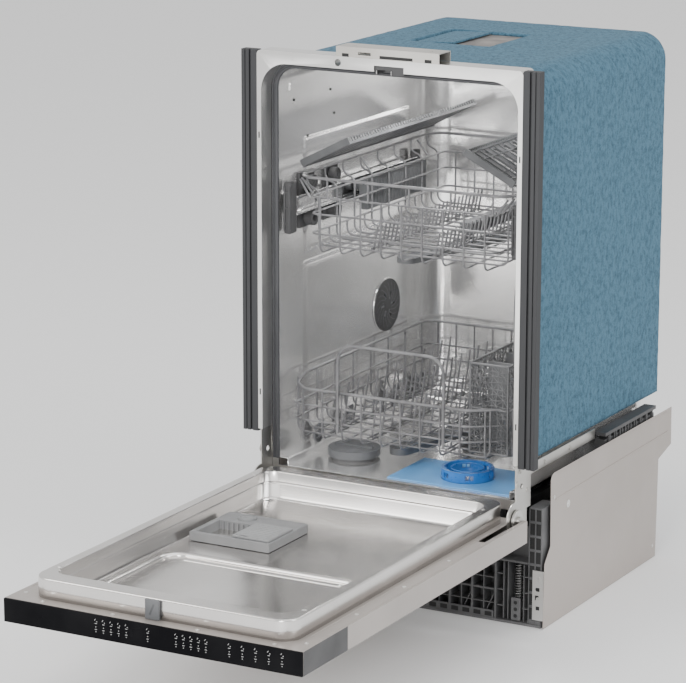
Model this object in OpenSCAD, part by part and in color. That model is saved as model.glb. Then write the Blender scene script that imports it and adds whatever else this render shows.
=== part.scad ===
// Slim built-in dishwasher, shown with its door lowered and both racks pushed home.
// X runs across the machine, Y runs from the front to the back and Z runs up.
// The origin is on the underside of the base tray, midway between its front and its back.

/* [Cabinet] */
// Width across the steel front frame
frame_w = 419; // [415:1:421]
// Height of the front frame above the floor
frame_h = 812; // [812:1:816]
// Distance from the front frame back to the origin
front_depth = 265; // [255:1:275]
// Outer width of the wash tub
tub_w = 392; // [390:1:393]
// Thickness of the tub steel
tub_wall = 1.5; // [1:0.1:2]
// Thickness of the felt around the tub
felt_wall = 5.6; // [3:0.1:6]

/* [Door] */
// Width of the door shell
door_w = 444.8; // [444:0.1:446]
// Length of the door in front of the hinge line
door_reach = 633.5; // [630:0.5:635]
// Thickness of the door shell
door_thick = 32; // [31:0.5:32]
// Height of the hinge line above the floor
hinge_z = 177; // [177:1:178]
// Outer width of the raised door pan
pan_w = 390; // [384:1:391]
// Height of the raised pan above the door shell
pan_rise = 28; // [24:1:28]

/* [Base] */
// Width across the two base side panels
base_w = 450; // [448:1:452]
// Diameter of each adjustable foot
foot_d = 34; // [28:1:36]

/* [Racks] */
// Width of the upper rack's rim
upper_rack_w = 344; // [340:1:345]
// Width of the lower rack's rim
lower_rack_w = 360; // [360:1:365]
// Diameter of the rack's rim wires
rim_wire_d = 5; // [4:0.5:5]
// Diameter of the rack's lighter wires
rack_wire_d = 3.6; // [3:0.1:4]
// Radius of the lower rack's wheels
wheel_r = 14; // [13:0.5:14]
// Reach of the lower spray arm
lower_arm_r = 172; // [150:1:174]

/* [Hidden] */
$fn = 48;

frame_half = frame_w / 2;
mouth_half = frame_half - 7;
mouth_top = frame_h - 17.5;
mouth_r = 36;
tub_half = tub_w / 2;
tub_front = 36;
tub_back = 504;
tub_top = mouth_top + 1.5;
tub_bottom = 193.5;
tub_floor = tub_bottom + tub_wall;
gasket_side = 9.5;
gasket_head = 15;
rib_pitch = 36;
basket_x = [96, 160];
basket_y = [72, 308];
basket_z = [244, 378];
basket_cell = 58.5;
felt_half = tub_half + 0.3 + felt_wall;
felt_top = tub_top + 0.3 + felt_wall;
felt_front = 46;
felt_bottom = 249;
strip_outer = 235;
strip_bottom = 252;
door_half = door_w / 2;
door_top = hinge_z - 1;
door_under = door_top - door_thick;
door_heel = 8;
pan_half = pan_w / 2;
pan_front = -611;
pan_top = door_top + pan_rise;
pan_floor = 166;
pan_side_w = 23;
pan_front_w = 43;
pan_rear_w = 40;
base_half = base_w / 2;
arm_y = 262;
sump_x = 80;
sump_y = 105;
salt_x = -118;
salt_y = 125;
sump_bottom = 142;
pump_z = 158;
drain_x = 170;
inlet_x = -150;
ledge_top = 205;
wheel_gap = 1.8;
wheel_wide = 5.2;
wheel_z = ledge_top + wheel_gap + wheel_r;
wheel_ys = [134, 226, 375, 462];
lower_half = lower_rack_w / 2;
lower_front = 44;
lower_back = 478;
lower_floor = 238;
lower_rim = 325;
handle_x = [-100, 72];
handle_y = 40.5;
handle_top = 386;
upper_half = upper_rack_w / 2;
upper_body_half = 152;
upper_front = 45;
upper_back = 478;
upper_floor = 517;
upper_rim = 626;
rail_low = 566;
rail_high = 594;
shelf_pivot_x = 165;
shelf_pivot_z = 641;
shelf_tilt = 27;
bracket_top = 826.5;

// Places a sub-part that is drawn with Y counted from the front frame's face
module from_front() { translate([0, -front_depth, 0]) children(); }
// A block given by its low and high limits along each direction
module block(x, y, z) {
    translate([x[0], y[0], z[0]]) cube([x[1] - x[0], y[1] - y[0], z[1] - z[0]]);
}
// Draws a right-hand shape on both sides
module both_sides() { children(); mirror([1, 0, 0]) children(); }
// A flat plate with rounded corners, drawn as an exact outline
module rounded_rect(w, d, r) {
    translate([r, 0]) square([w - 2 * r, d]);
    translate([0, r]) square([w, d - 2 * r]);
    for (x = [r, w - r], y = [r, d - r]) translate([x, y]) circle(r = r, $fn = 64);
}
// The arch of the tub mouth: square at the foot, round at the two top corners
module arch(half, low, high, r) {
    translate([-half, low]) square([2 * half, high - low - r]);
    translate([-half + r, high - r]) square([2 * half - 2 * r, r]);
    for (s = [-1, 1]) translate([s * (half - r), high - r]) circle(r = r, $fn = 64);
}
// Stands a front-view outline up and pushes it back between two depths
module standing(y0, y1) {
    translate([0, y1, 0]) rotate([90, 0, 0]) linear_extrude(y1 - y0) children();
}
module wire_x(x0, x1, y, z, d) {
    translate([x0, y, z]) rotate([0, 90, 0]) cylinder(d = d, h = x1 - x0, $fn = 8);
}
module wire_y(x, y0, y1, z, d) {
    translate([x, y0, z]) rotate([-90, 0, 0]) cylinder(d = d, h = y1 - y0, $fn = 8);
}
module wire_z(x, y, z0, z1, d) { translate([x, y, z0]) cylinder(d = d, h = z1 - z0, $fn = 8); }
module rod_x(x0, x1, y, z, r) {
    translate([x0, y, z]) rotate([0, 90, 0]) cylinder(r = r, h = x1 - x0);
}
module rod_y(x, y0, y1, z, r) {
    translate([x, y0, z]) rotate([-90, 0, 0]) cylinder(r = r, h = y1 - y0);
}

// Deep-drawn steel tub, open at the front, with a wheel ledge along each side
module tub() color("lightgray") from_front() difference() {
    standing(tub_front, tub_back) arch(tub_half, tub_bottom, tub_top, mouth_r + 2);
    difference() {
        standing(tub_front - 1, tub_back - 4)
            arch(tub_half - tub_wall, tub_floor, tub_top - tub_wall, mouth_r + 1);
        for (s = [-1, 1]) translate([s * (tub_half - 7.5), tub_front - 2, tub_floor])
            translate([-7.5, 0, -1]) cube([15, tub_back, ledge_top - tub_floor + 1]);
    }
    translate([sump_x, sump_y, tub_bottom - 1]) cylinder(r = 58, h = 4);
    translate([salt_x, salt_y, tub_bottom - 1]) cylinder(r = 35, h = 4);
    translate([0, arm_y, tub_bottom - 1]) cylinder(r = 13, h = 4);
    rod_x(-tub_half - 1, -tub_half + 3, 363, 371, 34);
}

// Folded steel frame round the mouth of the tub
module front_frame() color("whitesmoke") from_front() difference() {
    union() {
        standing(0, 34) difference() {
            arch(frame_half, 256, frame_h, 6);
            arch(mouth_half, 240, mouth_top, mouth_r + 4);
        }
        standing(33, 35.7) difference() {
            arch(204.5, 180, frame_h - 1, 6);
            arch(tub_half - tub_wall, tub_floor, tub_top - tub_wall, mouth_r + 1);
        }
    }
    block([-20.5, 26], [-1, 34.5], [789, 803]);
    rod_y(-78, -1, 40, 803, 5);
}

// Grooved rubber strip that closes the gap beside the cabinet
module side_strip() difference() {
    block([frame_half + 0.2, strip_outer], [0, 14], [strip_bottom, frame_h]);
    block([219.5, 222.5], [-1, 4], [strip_bottom - 1, frame_h + 1]);
    block([228, 229.5], [-1, 2], [strip_bottom - 1, frame_h + 1]);
}
module side_strip_left() color("dimgray") from_front() mirror([1, 0, 0]) side_strip();
module side_strip_right() color("dimgray") from_front() side_strip();

// Soft seal in the channel of the front frame
module tub_gasket() color("#4a4a50") from_front() standing(29, 32.8) difference() {
    arch(mouth_half - 0.3, 206, mouth_top - 0.3, mouth_r + 3.7);
    arch(mouth_half - gasket_side, 205, mouth_top - gasket_head, mouth_r - 11);
}

// Needled felt blanket over the top, the back and both sides of the tub
module felt_wrap() color("cadetblue") from_front() difference() {
    standing(felt_front, tub_back + 6) arch(felt_half, felt_bottom, felt_top, 40);
    standing(felt_front - 1, tub_back + 0.3) arch(tub_half + 0.3, 200, tub_top + 0.3, mouth_r + 2);
    block([-96, 34], [252, 392], [felt_top - felt_wall - 8, felt_top + 1]);
}

// Pressed bracket that is screwed up into the worktop
module worktop_bracket() color("ivory") from_front() difference() {
    union() {
        block([-81, 81], [0.2, 1.7], [frame_h, bracket_top]);
        block([-81, 81], [0.2, 36], [bracket_top - 1.5, bracket_top]);
        block([-81, 81], [34.5, 36], [frame_h, bracket_top]);
    }
    for (s = [-1, 1]) translate([s * 60, 18, bracket_top - 3]) cylinder(r = 2.5, h = 5);
    block([-46, -26], [-1, 3], [816, 820]);
}

// Lock that catches the door's latch at the top of the frame
module door_lock() color("#26262a") from_front() difference() {
    block([-20, 25.5], [2, 28.5], [790, 802.5]);
    block([-18, 6], [1, 27.5], [788, 797]);
}

// Steel cheek below the frame that carries the door's hinge pin
module hinge_cheek() {
    difference() {
        union() {
            block([205, 207], [2, 50], [186, 255.5]);
            rod_x(205, 207, 0, hinge_z, 26);
            block([205, 207], [0, 38], [150, 200]);
            block([205, 207], [49, 268], [232, 247]);
        }
        rod_x(204, 208, 20, 222, 4);
    }
    rod_x(206.5, 216, 0, hinge_z, 6);
}
module hinge_plate_left() color("tan") from_front() mirror([1, 0, 0]) hinge_cheek();
module hinge_plate_right() color("tan") from_front() hinge_cheek();

// Moulded base tray: a floor, a ribbed front, a rear wall and four corner posts
module base_tray() color("#1d1d20") from_front() difference() {
    union() {
        block([-base_half + 6, base_half - 6], [64, 466], [0, 4]);
        block([-base_half + 6, base_half - 6], [92, 95], [3, 140]);
        block([-base_half + 6, base_half - 6], [463, 466], [3, 140]);
        for (i = [-3 : 3]) block([i * rib_pitch - 1.5, i * rib_pitch + 1.5], [66, 93], [3, 140]);
        for (z = [45, 82, 118]) block([-144, 144], [68, 93], [z, z + 3]);
        both_sides() {
            block([144, 147], [66, 93], [3, 140]);
            block([198, 219], [66, 110], [3, 178]);
            block([147, 219], [66, 93], [92, 95]);
            block([205, 219], [430, 466], [3, 117]);
        }
    }
    for (x = [-180, 180]) translate([x, 116, -1]) cylinder(d = foot_d + 3, h = 3.5);
    for (x = [-180, 180]) translate([x, 116, 0]) cylinder(r = 5.3, h = 10);
    translate([0, 440, -1]) cylinder(d = foot_d + 3, h = 3.5);
    translate([0, 440, 0]) cylinder(r = 5.3, h = 10);
    rod_y(drain_x, 460, 470, 60, 8.4);
    rod_y(inlet_x, 460, 470, 57, 10.4);
}

// Painted steel side panel of the base
module base_side() difference() {
    rotate([90, 0, 90]) translate([0, 0, base_half - 1.5]) linear_extrude(1.5) union() {
        polygon([[61.5, 0.5], [465, 0.5], [469, 154], [517, 167], [515.5, 226], [92, 226],
            [81, 215], [82.7, 119], [64, 97]]);
        translate([92, 215]) circle(r = 11);
    }
    rod_x(base_half - 3, base_half + 1, 140, 168, 5);
}
module base_panel_left() color("rosybrown") from_front() mirror([1, 0, 0]) base_side();
module base_panel_right() color("rosybrown") from_front() base_side();

// Small zinc plates that tie the tray to the side panels at the front corners
module corner_plates() color("silver") from_front() both_sides() difference() {
    block([206, base_half - 1.6], [63, 64.5], [12, 86]);
    rod_y(213, 60, 68, 58, 2.6);
    block([210, 216], [60, 68], [42, 49]);
}

// Collecting well below the filter
module sump() color("#2b2b2e") from_front() difference() {
    union() {
        translate([sump_x, sump_y, sump_bottom]) cylinder(r = 56, h = tub_bottom - sump_bottom - 0.2);
        translate([sump_x, sump_y, tub_bottom - 4]) cylinder(r = 62, h = 3.8);
        rod_y(sump_x, sump_y + 40, sump_y + 110, pump_z, 13);
    }
    translate([sump_x, sump_y, sump_bottom + 3]) cylinder(r = 52, h = 90);
    rod_y(sump_x, sump_y + 35, sump_y + 120, pump_z, 10);
}

// Motor and pump that feed both spray arms, with a riser to the lower arm
module circulation_pump() color("#3a3a40") from_front() {
    rod_y(sump_x, 216, 252, pump_z, 34);
    rod_y(sump_x, 252, 330, pump_z, 29);
    block([sump_x - 34, sump_x + 34], [216, 330], [116, 132]);
    block([-12, sump_x], [arm_y - 12, arm_y - 2], [176, 186]);
    block([sump_x - 10, sump_x + 10], [238, 250], [pump_z, 186]);
    translate([0, arm_y, 174]) cylinder(r = 12, h = 24);
    translate([0, arm_y, 190]) cylinder(r = 6, h = 34);
}

// Small pump that empties the sump through the hose spigot at the back
module drain_pump() color("#44444a") from_front() {
    rod_y(drain_x, 190, 232, 60, 26);
    rod_y(drain_x, 232, 466.5, 60, 8);
    difference() {
        rod_y(drain_x, 466.5, 492, 60, 9.5);
        rod_y(drain_x, 467.5, 493, 60, 7);
    }
}

// Water softener with the salt filler neck that comes up through the tub floor
module softener_tank() color("gainsboro") from_front() {
    block([-190, -60], [98, 190], [70, 184]);
    translate([salt_x, salt_y, 183]) difference() {
        cylinder(r = 34, h = 16);
        translate([0, 0, 2]) cylinder(r = 29, h = 20);
    }
}

// Flat ribbed tank beside the tub that takes in the water
module air_break_tank() color("#2a2a2e") from_front() {
    block([204, 220], [274, 456], [120, 230]);
    for (y = [290 : 22 : 444]) block([204, 222], [y, y + 2.5], [130, 237]);
    block([203.5, 222.5], [272, 458], [236, 241]);
}

// Flow heater on the outlet of the circulation pump
module heater() color("silver") from_front() {
    rod_y(sump_x, 331, 352, pump_z, 34);
    rod_y(sump_x, 352, 372, pump_z, 12);
}

// Solenoid valve with the threaded inlet for the supply hose
module inlet_valve() color("white") from_front() {
    block([-176, -124], [400, 462.5], [30, 84]);
    difference() {
        union() {
            rod_y(inlet_x, 460, 466.6, 57, 10);
            rod_y(inlet_x, 466.6, 480, 57, 13.2);
        }
        rod_y(inlet_x, 468, 481, 57, 8);
    }
}

// Fine-mesh plate that covers the sump
module filter_plate() color("dodgerblue") from_front() difference() {
    union() {
        translate([-22, 48, tub_floor + 0.2]) cube([196, 118, 1.6]);
        translate([sump_x, sump_y, tub_floor + 0.2]) cylinder(r = 60, h = 1.6);
    }
    translate([sump_x, sump_y, tub_floor - 1]) cylinder(r = 39.5, h = 5);
}

// Round black air vent in the left wall of the tub
module wall_vent() color("#242428") from_front() difference() {
    union() {
        rod_x(-tub_half + tub_wall + 0.1, -tub_half + tub_wall + 5, 363, 371, 41);
        rod_x(-tub_half - 0.2, -tub_half + tub_wall + 1, 363, 371, 33);
    }
    for (i = [0 : 5]) translate([0, 363, 371]) rotate([i * 60, 0, 0])
        block([-tub_half - 1, -tub_half + 8], [10, 22], [-2, 2]);
}

// Brackets on the tub walls with the pins of the rail rollers
module roller_brackets() color("#1f1f22") from_front() both_sides() for (y = [110, 180]) {
    block([189.5, 194.3], [y - 22, y + 22], [540, 622]);
    rod_x(176, 190, y, 606, 3);
    difference() {
        rod_x(176, 190, y, 553.5, 11.5);
        rod_x(175, 188, y, 553.5, 6);
    }
}

// Counterbalance springs that hold the door's weight
module spring_body() translate([178, 79, 30]) difference() {
    cylinder(r = 7.5, h = 60);
    translate([0, 0, -1]) cylinder(r = 5, h = 62);
}
module door_springs() color("#3c3c40") from_front() both_sides() spring_body();

// Screw foot: a round pad on a threaded stem
module foot(x, y) translate([x, y, 0]) {
    cylinder(d = foot_d, h = 2.2);
    cylinder(r = 5, h = 60);
}
module foot_front_left() color("black") from_front() foot(-180, 116);
module foot_front_right() color("black") from_front() foot(180, 116);
module foot_rear() color("black") from_front() foot(0, 440);

// Grey cap that closes the salt filler
module salt_cap() color("gray") from_front() translate([salt_x, salt_y, 0]) {
    translate([0, 0, 199.4]) cylinder(r = 39, h = 12);
    translate([0, 0, 187]) cylinder(r = 28.6, h = 13);
    translate([-30, -3, 211]) cube([60, 6, 3]);
}

// Blue filter cup that turns and lifts out of the sump
module filter_cup() color("#1f7fe0") from_front() translate([sump_x, sump_y, 0]) difference() {
    union() {
        translate([0, 0, 197]) cylinder(r = 38.5, h = 15);
        translate([0, 0, sump_bottom + 4]) cylinder(r = 36, h = 198 - sump_bottom - 4);
    }
    translate([0, 0, sump_bottom + 7]) cylinder(r = 33.5, h = 90);
    for (i = [0 : 5]) rotate([0, 0, i * 60]) translate([28, -7, 201]) cube([14, 14, 7]);
}

// Hollow rotor with two arms that sprays the lower rack
module spray_rotor(reach, low, high, bore_r) difference() {
    union() {
        translate([0, arm_y, low]) cylinder(r = 24, h = high - low);
        translate([0, arm_y, low]) rotate([0, 0, 78])
            block([-reach + 16, reach - 16], [-16, 16], [0, high - low]);
        translate([0, arm_y, low]) rotate([0, 0, 78]) for (s = [-1, 1])
            translate([s * (reach - 16), 0, 0]) cylinder(r = 16, h = high - low);
    }
    translate([0, arm_y, low - 1]) cylinder(r = bore_r, h = high - low + 2);
}
module lower_spray_arm() color("#6f6f74") from_front() spray_rotor(lower_arm_r, 216, 226, 6.3);

// Chromed rail that runs between the wall rollers, with a black stop at each end
module rack_rail() {
    difference() {
        block([175, 188], [58, 430], [rail_low, rail_high]);
        block([173, 185.5], [57, 431], [rail_low + 2.5, rail_high - 2.5]);
    }
    block([175.8, 188.9], [36, 58], [540, 618]);
    block([175.8, 188.9], [430, 446], [556, 604]);
}
module rack_rail_left() color("gainsboro") from_front() mirror([1, 0, 0]) rack_rail();
module rack_rail_right() color("gainsboro") from_front() rack_rail();

// Black rollers on the wall pins above the rails
module roller_pair(y) both_sides() difference() {
    rod_x(176.6, 188.6, y, 606, 11);
    rod_x(175, 190, y, 606, 3.06);
}
module wall_rollers_front() color("black") from_front() roller_pair(110);
module wall_rollers_rear() color("black") from_front() roller_pair(180);

// Outer door shell: outer sheet, folded sides and the flange round the pan
module door_shell() color("rosybrown") from_front() difference() {
    block([-door_half, door_half], [-door_reach + 4, door_heel], [door_under, door_top]);
    block([-door_half + 1.2, door_half - 1.2], [-door_reach + 5.2, door_heel - 1.2],
        [door_under + 2, door_top - 1.2]);
    block([-pan_half + 6, pan_half - 6], [pan_front + 6, -6], [door_top - 3, door_top + 1]);
    for (s = [-1, 1]) block([s * 210 - 6.2, s * 210 + 6.2], [-112, door_heel + 1],
        [door_under + 2, door_top + 1]);
    for (x = [-190, 190], y = [-560, -80]) translate([x, y, door_under - 1])
        cylinder(r = 2.2, h = 4);
}

// Drawn steel inner pan, raised above the flange, with a sunken middle
module door_liner() color("silver") from_front() {
    difference() {
        translate([-pan_half, pan_front, door_top + 0.1])
            linear_extrude(pan_rise) rounded_rect(pan_w, -pan_front - 0.5, 26);
        translate([-pan_half + 1.2, pan_front + 1.2, door_top - 1])
            linear_extrude(pan_rise) rounded_rect(pan_w - 2.4, -pan_front - 2.9, 24.8);
        block([-pan_half + pan_side_w, pan_half - pan_side_w],
            [pan_front + pan_front_w, -pan_rear_w], [door_top, pan_top + 2]);
    }
    difference() {
        block([-pan_half + pan_side_w - 1.2, pan_half - pan_side_w + 1.2],
            [pan_front + pan_front_w - 1.2, -pan_rear_w + 1.2], [pan_floor - 1.2, pan_top - 0.4]);
        block([-pan_half + pan_side_w, pan_half - pan_side_w],
            [pan_front + pan_front_w, -pan_rear_w], [pan_floor, pan_top + 2]);
        block([-157, -36], [-272, -168], [pan_floor - 3, pan_floor + 1]);
    }
}

// Steel hinge arms inside the door that turn on the cheek pins
module hinge_arms() color("darkgray") from_front() both_sides() difference() {
    union() {
        rod_x(208, 212, 0, hinge_z, 15);
        block([208, 212], [-108, 0], [door_under + 2.4, 168]);
    }
    rod_x(207, 213, 0, hinge_z, 6.06);
}

// Gloss black control strip along the edge of the door
module control_panel() color("black") from_front()
    block([-door_half, door_half], [-door_reach, -door_reach + 3.8], [door_under, door_top]);

// Circuit board with the keys and lamps behind the control strip
module control_board() color("darkgreen") from_front() {
    block([-150, 190], [-door_reach + 7, -door_reach + 8.6], [door_under + 4, door_top - 4]);
    block([-90, 60], [-door_reach + 8.6, -door_reach + 16], [door_under + 6, door_top - 8]);
}

// Grey latch tongue in the front wall of the pan
module door_latch() color("gray") from_front()
    block([-17, 4], [pan_front - 5, pan_front - 0.2], [door_top + 0.3, pan_top - 1]);

// Dispenser housing with an open detergent chamber and a rinse-aid tank
module dispenser_body() color("#8c8e92") from_front() difference() {
    union() {
        block([-156, -37], [-271, -169], [148, 168]);
        block([-160, -33], [-275, -165], [167, 180]);
    }
    block([-152, -96], [-268, -205], [152, 181]);
    translate([-120, -184, 174]) cylinder(r = 13.4, h = 8);
}

// Sliding lid of the detergent chamber, drawn in its open place
module dispenser_lid() color("#9a9ca0") from_front() difference() {
    block([-94, -36], [-270, -203], [180.3, 183.5]);
    block([-90, -72], [-268, -262], [182, 185]);
}

// Round cap of the rinse-aid tank
module rinse_cap() color("#7d7f83") from_front() {
    translate([-120, -184, 174.4]) cylinder(r = 13, h = 6.6);
    block([-131, -109], [-185.5, -182.5], [180.8, 182.6]);
}

// Blocks on the rack's sides with wheels that run inside the rails
module height_adjusters() color("#4e5054") from_front() both_sides() {
    block([157, 171], [236, 426], [545, 592]);
    for (y = [250, 412]) rod_x(170, 184, y, (rail_low + rail_high) / 2, 10);
}

// Welded wire floor of a rack
module rack_floor(half, front, back, z, lengthwise, crosswise) {
    for (i = [0 : lengthwise]) wire_y(-half + i * 2 * half / lengthwise, front, back,
        z + 2.4, rack_wire_d);
    for (j = [0 : crosswise]) wire_x(-half, half, front + 8 + j * (back - front - 16) / crosswise,
        z, rack_wire_d);
}
module upper_rack_floor() color("gray") from_front()
    rack_floor(upper_body_half - 4, upper_front + 4, upper_back - 4, upper_floor, 9, 7);
module lower_rack_floor() color("gray") from_front()
    rack_floor(lower_half - 4, lower_front + 4, lower_back - 4, lower_floor, 11, 8);

// Welded wire wall across a rack
module rack_end(half, y, low, levels, uprights) {
    for (z = levels) wire_x(-half, half, y, z, rack_wire_d);
    for (i = [0 : uprights]) wire_z(-half + 2 + i * (2 * half - 4) / uprights, y, low,
        levels[len(levels) - 1], rack_wire_d);
}
module upper_rack_ends() color("gray") from_front() for (y = [upper_front, upper_back])
    rack_end(upper_body_half - 2.2, y, upper_floor + 2, [upper_floor + 4, 560, 598], 6);
module lower_rack_ends() color("gray") from_front() {
    for (y = [lower_front, lower_back])
        rack_end(lower_half - 3, y, lower_floor + 2, [lower_floor + 4, 280, 312], 8);
    for (x = handle_x) wire_z(x, handle_y, 253, handle_top, rim_wire_d);
    wire_x(handle_x[0] - 2, handle_x[1] + 2, handle_y, handle_top, rim_wire_d);
}

// Welded wire walls along a rack
module upper_rack_sides() color("gray") from_front() both_sides() {
    wire_y(upper_body_half, upper_front, upper_back, upper_floor + 4, rack_wire_d);
    wire_y(upper_half, upper_front, upper_back, upper_rim, rim_wire_d);
    for (i = [0 : 7]) {
        y = upper_front + 34 + i * 54;
        wire_z(upper_body_half, y, upper_floor + 2, 604, rack_wire_d);
        wire_x(upper_body_half - 1, upper_half + 1, y, 603, rack_wire_d);
        wire_z(upper_half, y, 602, upper_rim, rack_wire_d);
    }
    for (y = [upper_front, upper_back])
        wire_x(0, upper_half, y, upper_rim, rim_wire_d);
}
module lower_rack_sides() color("gray") from_front() both_sides() {
    wire_y(lower_half, lower_front, lower_back, lower_rim, rim_wire_d);
    wire_y(lower_half, lower_front, lower_back, 280, rack_wire_d);
    wire_y(lower_half, lower_front, lower_back, lower_floor + 4, rack_wire_d);
    for (i = [0 : 8]) wire_z(lower_half, lower_front + 4 + i * 53, lower_floor, lower_rim,
        rack_wire_d);
    for (y = wheel_ys) {
        block([lower_half - 2, lower_half + 0.8], [y - 7, y + 7], [wheel_z - 6, lower_floor + 7]);
        rod_x(lower_half, lower_half + wheel_wide + 2.2, y, wheel_z, 3);
    }
    wire_x(0, lower_half, lower_back, lower_rim, rim_wire_d);
}

// Feed pipe under the upper rack, with the spigot for its spray arm
module upper_spray_feed() color("#66686c") from_front() {
    block([-11, 11], [arm_y - 11, 462], [upper_floor + 5, upper_floor + 21]);
    translate([0, arm_y, 497]) cylinder(r = 6, h = 26);
}
module upper_spray_arm() color("#6f6f74") from_front() spray_rotor(158, 500, 508, 6.3);

// Fold-up cup shelf hinged along the rack's side
module cup_shelf() translate([shelf_pivot_x, 0, shelf_pivot_z]) rotate([0, shelf_tilt, 0]) {
    difference() {
        block([-84, 4], [58, 462], [-2, 2]);
        for (i = [0 : 12]) block([-72, -14], [72 + i * 30, 84 + i * 30], [-3, 3]);
    }
    block([-84, 4], [58, 61], [-2, 9]);
    block([-84, 4], [459, 462], [-2, 9]);
    translate([0, 58, 0]) rotate([-90, 0, 0]) cylinder(r = 3.6, h = 404);
}
module cup_shelf_left() color("dimgray") from_front() mirror([1, 0, 0]) cup_shelf();
module cup_shelf_right() color("dimgray") from_front() cup_shelf();

// Two grey rack wheels that share one cross line
module wheel_pair(y) both_sides() difference() {
    rod_x(lower_half + 1.6, lower_half + 1.6 + wheel_wide, y, wheel_z, wheel_r);
    rod_x(lower_half, lower_half + 10, y, wheel_z, 3.06);
}
module lower_wheels_1() color("gray") from_front() wheel_pair(wheel_ys[0]);
module lower_wheels_2() color("gray") from_front() wheel_pair(wheel_ys[1]);
module lower_wheels_3() color("gray") from_front() wheel_pair(wheel_ys[2]);
module lower_wheels_4() color("gray") from_front() wheel_pair(wheel_ys[3]);

// Cutlery basket: a slotted plastic box with dividers and a loop handle
module cutlery_basket() color("darkgray") from_front() {
    difference() {
        block(basket_x, basket_y, basket_z);
        for (i = [0 : 3]) block([basket_x[0] + 2, basket_x[1] - 2],
            [basket_y[0] + 2 + i * basket_cell, basket_y[0] + basket_cell + i * basket_cell],
            [basket_z[0] + 2, basket_z[1] + 1]);
        for (i = [0 : 3], z = [262, 300, 338]) block([basket_x[0] - 1, basket_x[1] + 1],
            [basket_y[0] + 12 + i * basket_cell, basket_y[0] + 48 + i * basket_cell], [z, z + 26]);
    }
    block([124, 132], [basket_y[0] + 84, basket_y[0] + 92], [basket_z[1] - 10, 484]);
    block([124, 132], [basket_y[0] + 144, basket_y[0] + 152], [basket_z[1] - 10, 484]);
    block([124, 132], [basket_y[0] + 84, basket_y[0] + 152], [476, 484]);
}

tub();
front_frame();
side_strip_left();
side_strip_right();
tub_gasket();
felt_wrap();
worktop_bracket();
door_lock();
hinge_plate_left();
hinge_plate_right();
base_tray();
base_panel_left();
base_panel_right();
corner_plates();
sump();
circulation_pump();
drain_pump();
softener_tank();
air_break_tank();
heater();
inlet_valve();
filter_plate();
wall_vent();
roller_brackets();
door_springs();
foot_front_left();
foot_front_right();
foot_rear();
salt_cap();
filter_cup();
lower_spray_arm();
rack_rail_left();
rack_rail_right();
wall_rollers_front();
wall_rollers_rear();
door_shell();
door_liner();
hinge_arms();
control_panel();
control_board();
door_latch();
dispenser_body();
dispenser_lid();
rinse_cap();
height_adjusters();
upper_rack_floor();
upper_rack_ends();
upper_rack_sides();
upper_spray_feed();
upper_spray_arm();
cup_shelf_left();
cup_shelf_right();
lower_rack_floor();
lower_rack_ends();
lower_rack_sides();
lower_wheels_1();
lower_wheels_2();
lower_wheels_3();
lower_wheels_4();
cutlery_basket();
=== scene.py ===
import math
import random

import bmesh
import bpy
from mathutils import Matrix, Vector


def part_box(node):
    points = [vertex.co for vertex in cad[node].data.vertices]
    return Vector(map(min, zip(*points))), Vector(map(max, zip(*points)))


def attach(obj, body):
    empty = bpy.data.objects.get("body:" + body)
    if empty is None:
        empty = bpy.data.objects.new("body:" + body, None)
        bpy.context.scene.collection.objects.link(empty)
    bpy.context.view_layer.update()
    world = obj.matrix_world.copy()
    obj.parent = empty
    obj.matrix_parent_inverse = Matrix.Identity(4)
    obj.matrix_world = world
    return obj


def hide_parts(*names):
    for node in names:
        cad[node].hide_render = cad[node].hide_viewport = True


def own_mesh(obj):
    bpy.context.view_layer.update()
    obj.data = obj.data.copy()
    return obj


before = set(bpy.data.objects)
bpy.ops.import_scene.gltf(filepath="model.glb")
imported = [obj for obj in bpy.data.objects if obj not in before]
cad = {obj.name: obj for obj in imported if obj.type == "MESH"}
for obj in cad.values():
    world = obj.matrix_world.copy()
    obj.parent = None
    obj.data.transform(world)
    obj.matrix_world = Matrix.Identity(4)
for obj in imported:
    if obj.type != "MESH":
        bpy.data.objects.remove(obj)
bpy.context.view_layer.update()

# ---------------------------------------------------------------- studio
# A pale floor under the machine, a white room round it and six soft lamps.
# Two of the lamps are small: one hangs in the tub and one stands before its mouth.
# The camera stands to the right of the open door, a little above the worktop.

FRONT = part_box("front_frame")[0].y


def at(x, y, z):
    """Millimetres across, back from the front frame's face and up, as a place in the frame."""
    return Vector((x / 1000, FRONT + y / 1000, z / 1000))


def soft_lamp(name, place, target, size, watts, tint):
    """A round area lamp at a place, turned to its target; size in metres."""
    lamp = bpy.data.lights.new(name, "AREA")
    lamp.shape, lamp.size, lamp.energy, lamp.color = "DISK", size, watts, tint
    holder = bpy.data.objects.new(name, lamp)
    holder.location = place
    holder.rotation_euler = (Vector(target) - Vector(place)).to_track_quat("-Z", "Y").to_euler()
    bpy.context.scene.collection.objects.link(holder)


soft_lamp("lamp_front_left", (-2.6, -3.2, 3.0), (0, 0, 0.4), 2.2, 62, (1.0, 0.98, 0.95))
soft_lamp("lamp_right", (3.4, -0.6, 2.4), (0, 0, 0.4), 2.0, 42, (0.97, 0.985, 1.0))
soft_lamp("lamp_above", (0.2, 0.2, 4.0), (0, 0, 0.5), 2.6, 30, (1.0, 1.0, 1.0))
soft_lamp("lamp_into_tub", (0.9, -3.4, 1.2), (0, 0.1, 0.5), 0.9, 46, (1.0, 1.0, 1.0))
soft_lamp("lamp_at_mouth", at(0, -420, 560), at(0, 300, 520), 0.62, 1.0, (1.0, 1.0, 1.0))
soft_lamp("lamp_in_tub_roof", at(0, 170, 765), at(0, 300, 300), 0.16, 1.9, (1.0, 1.0, 1.0))
bpy.data.objects["lamp_in_tub_roof"].visible_camera = False

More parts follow.
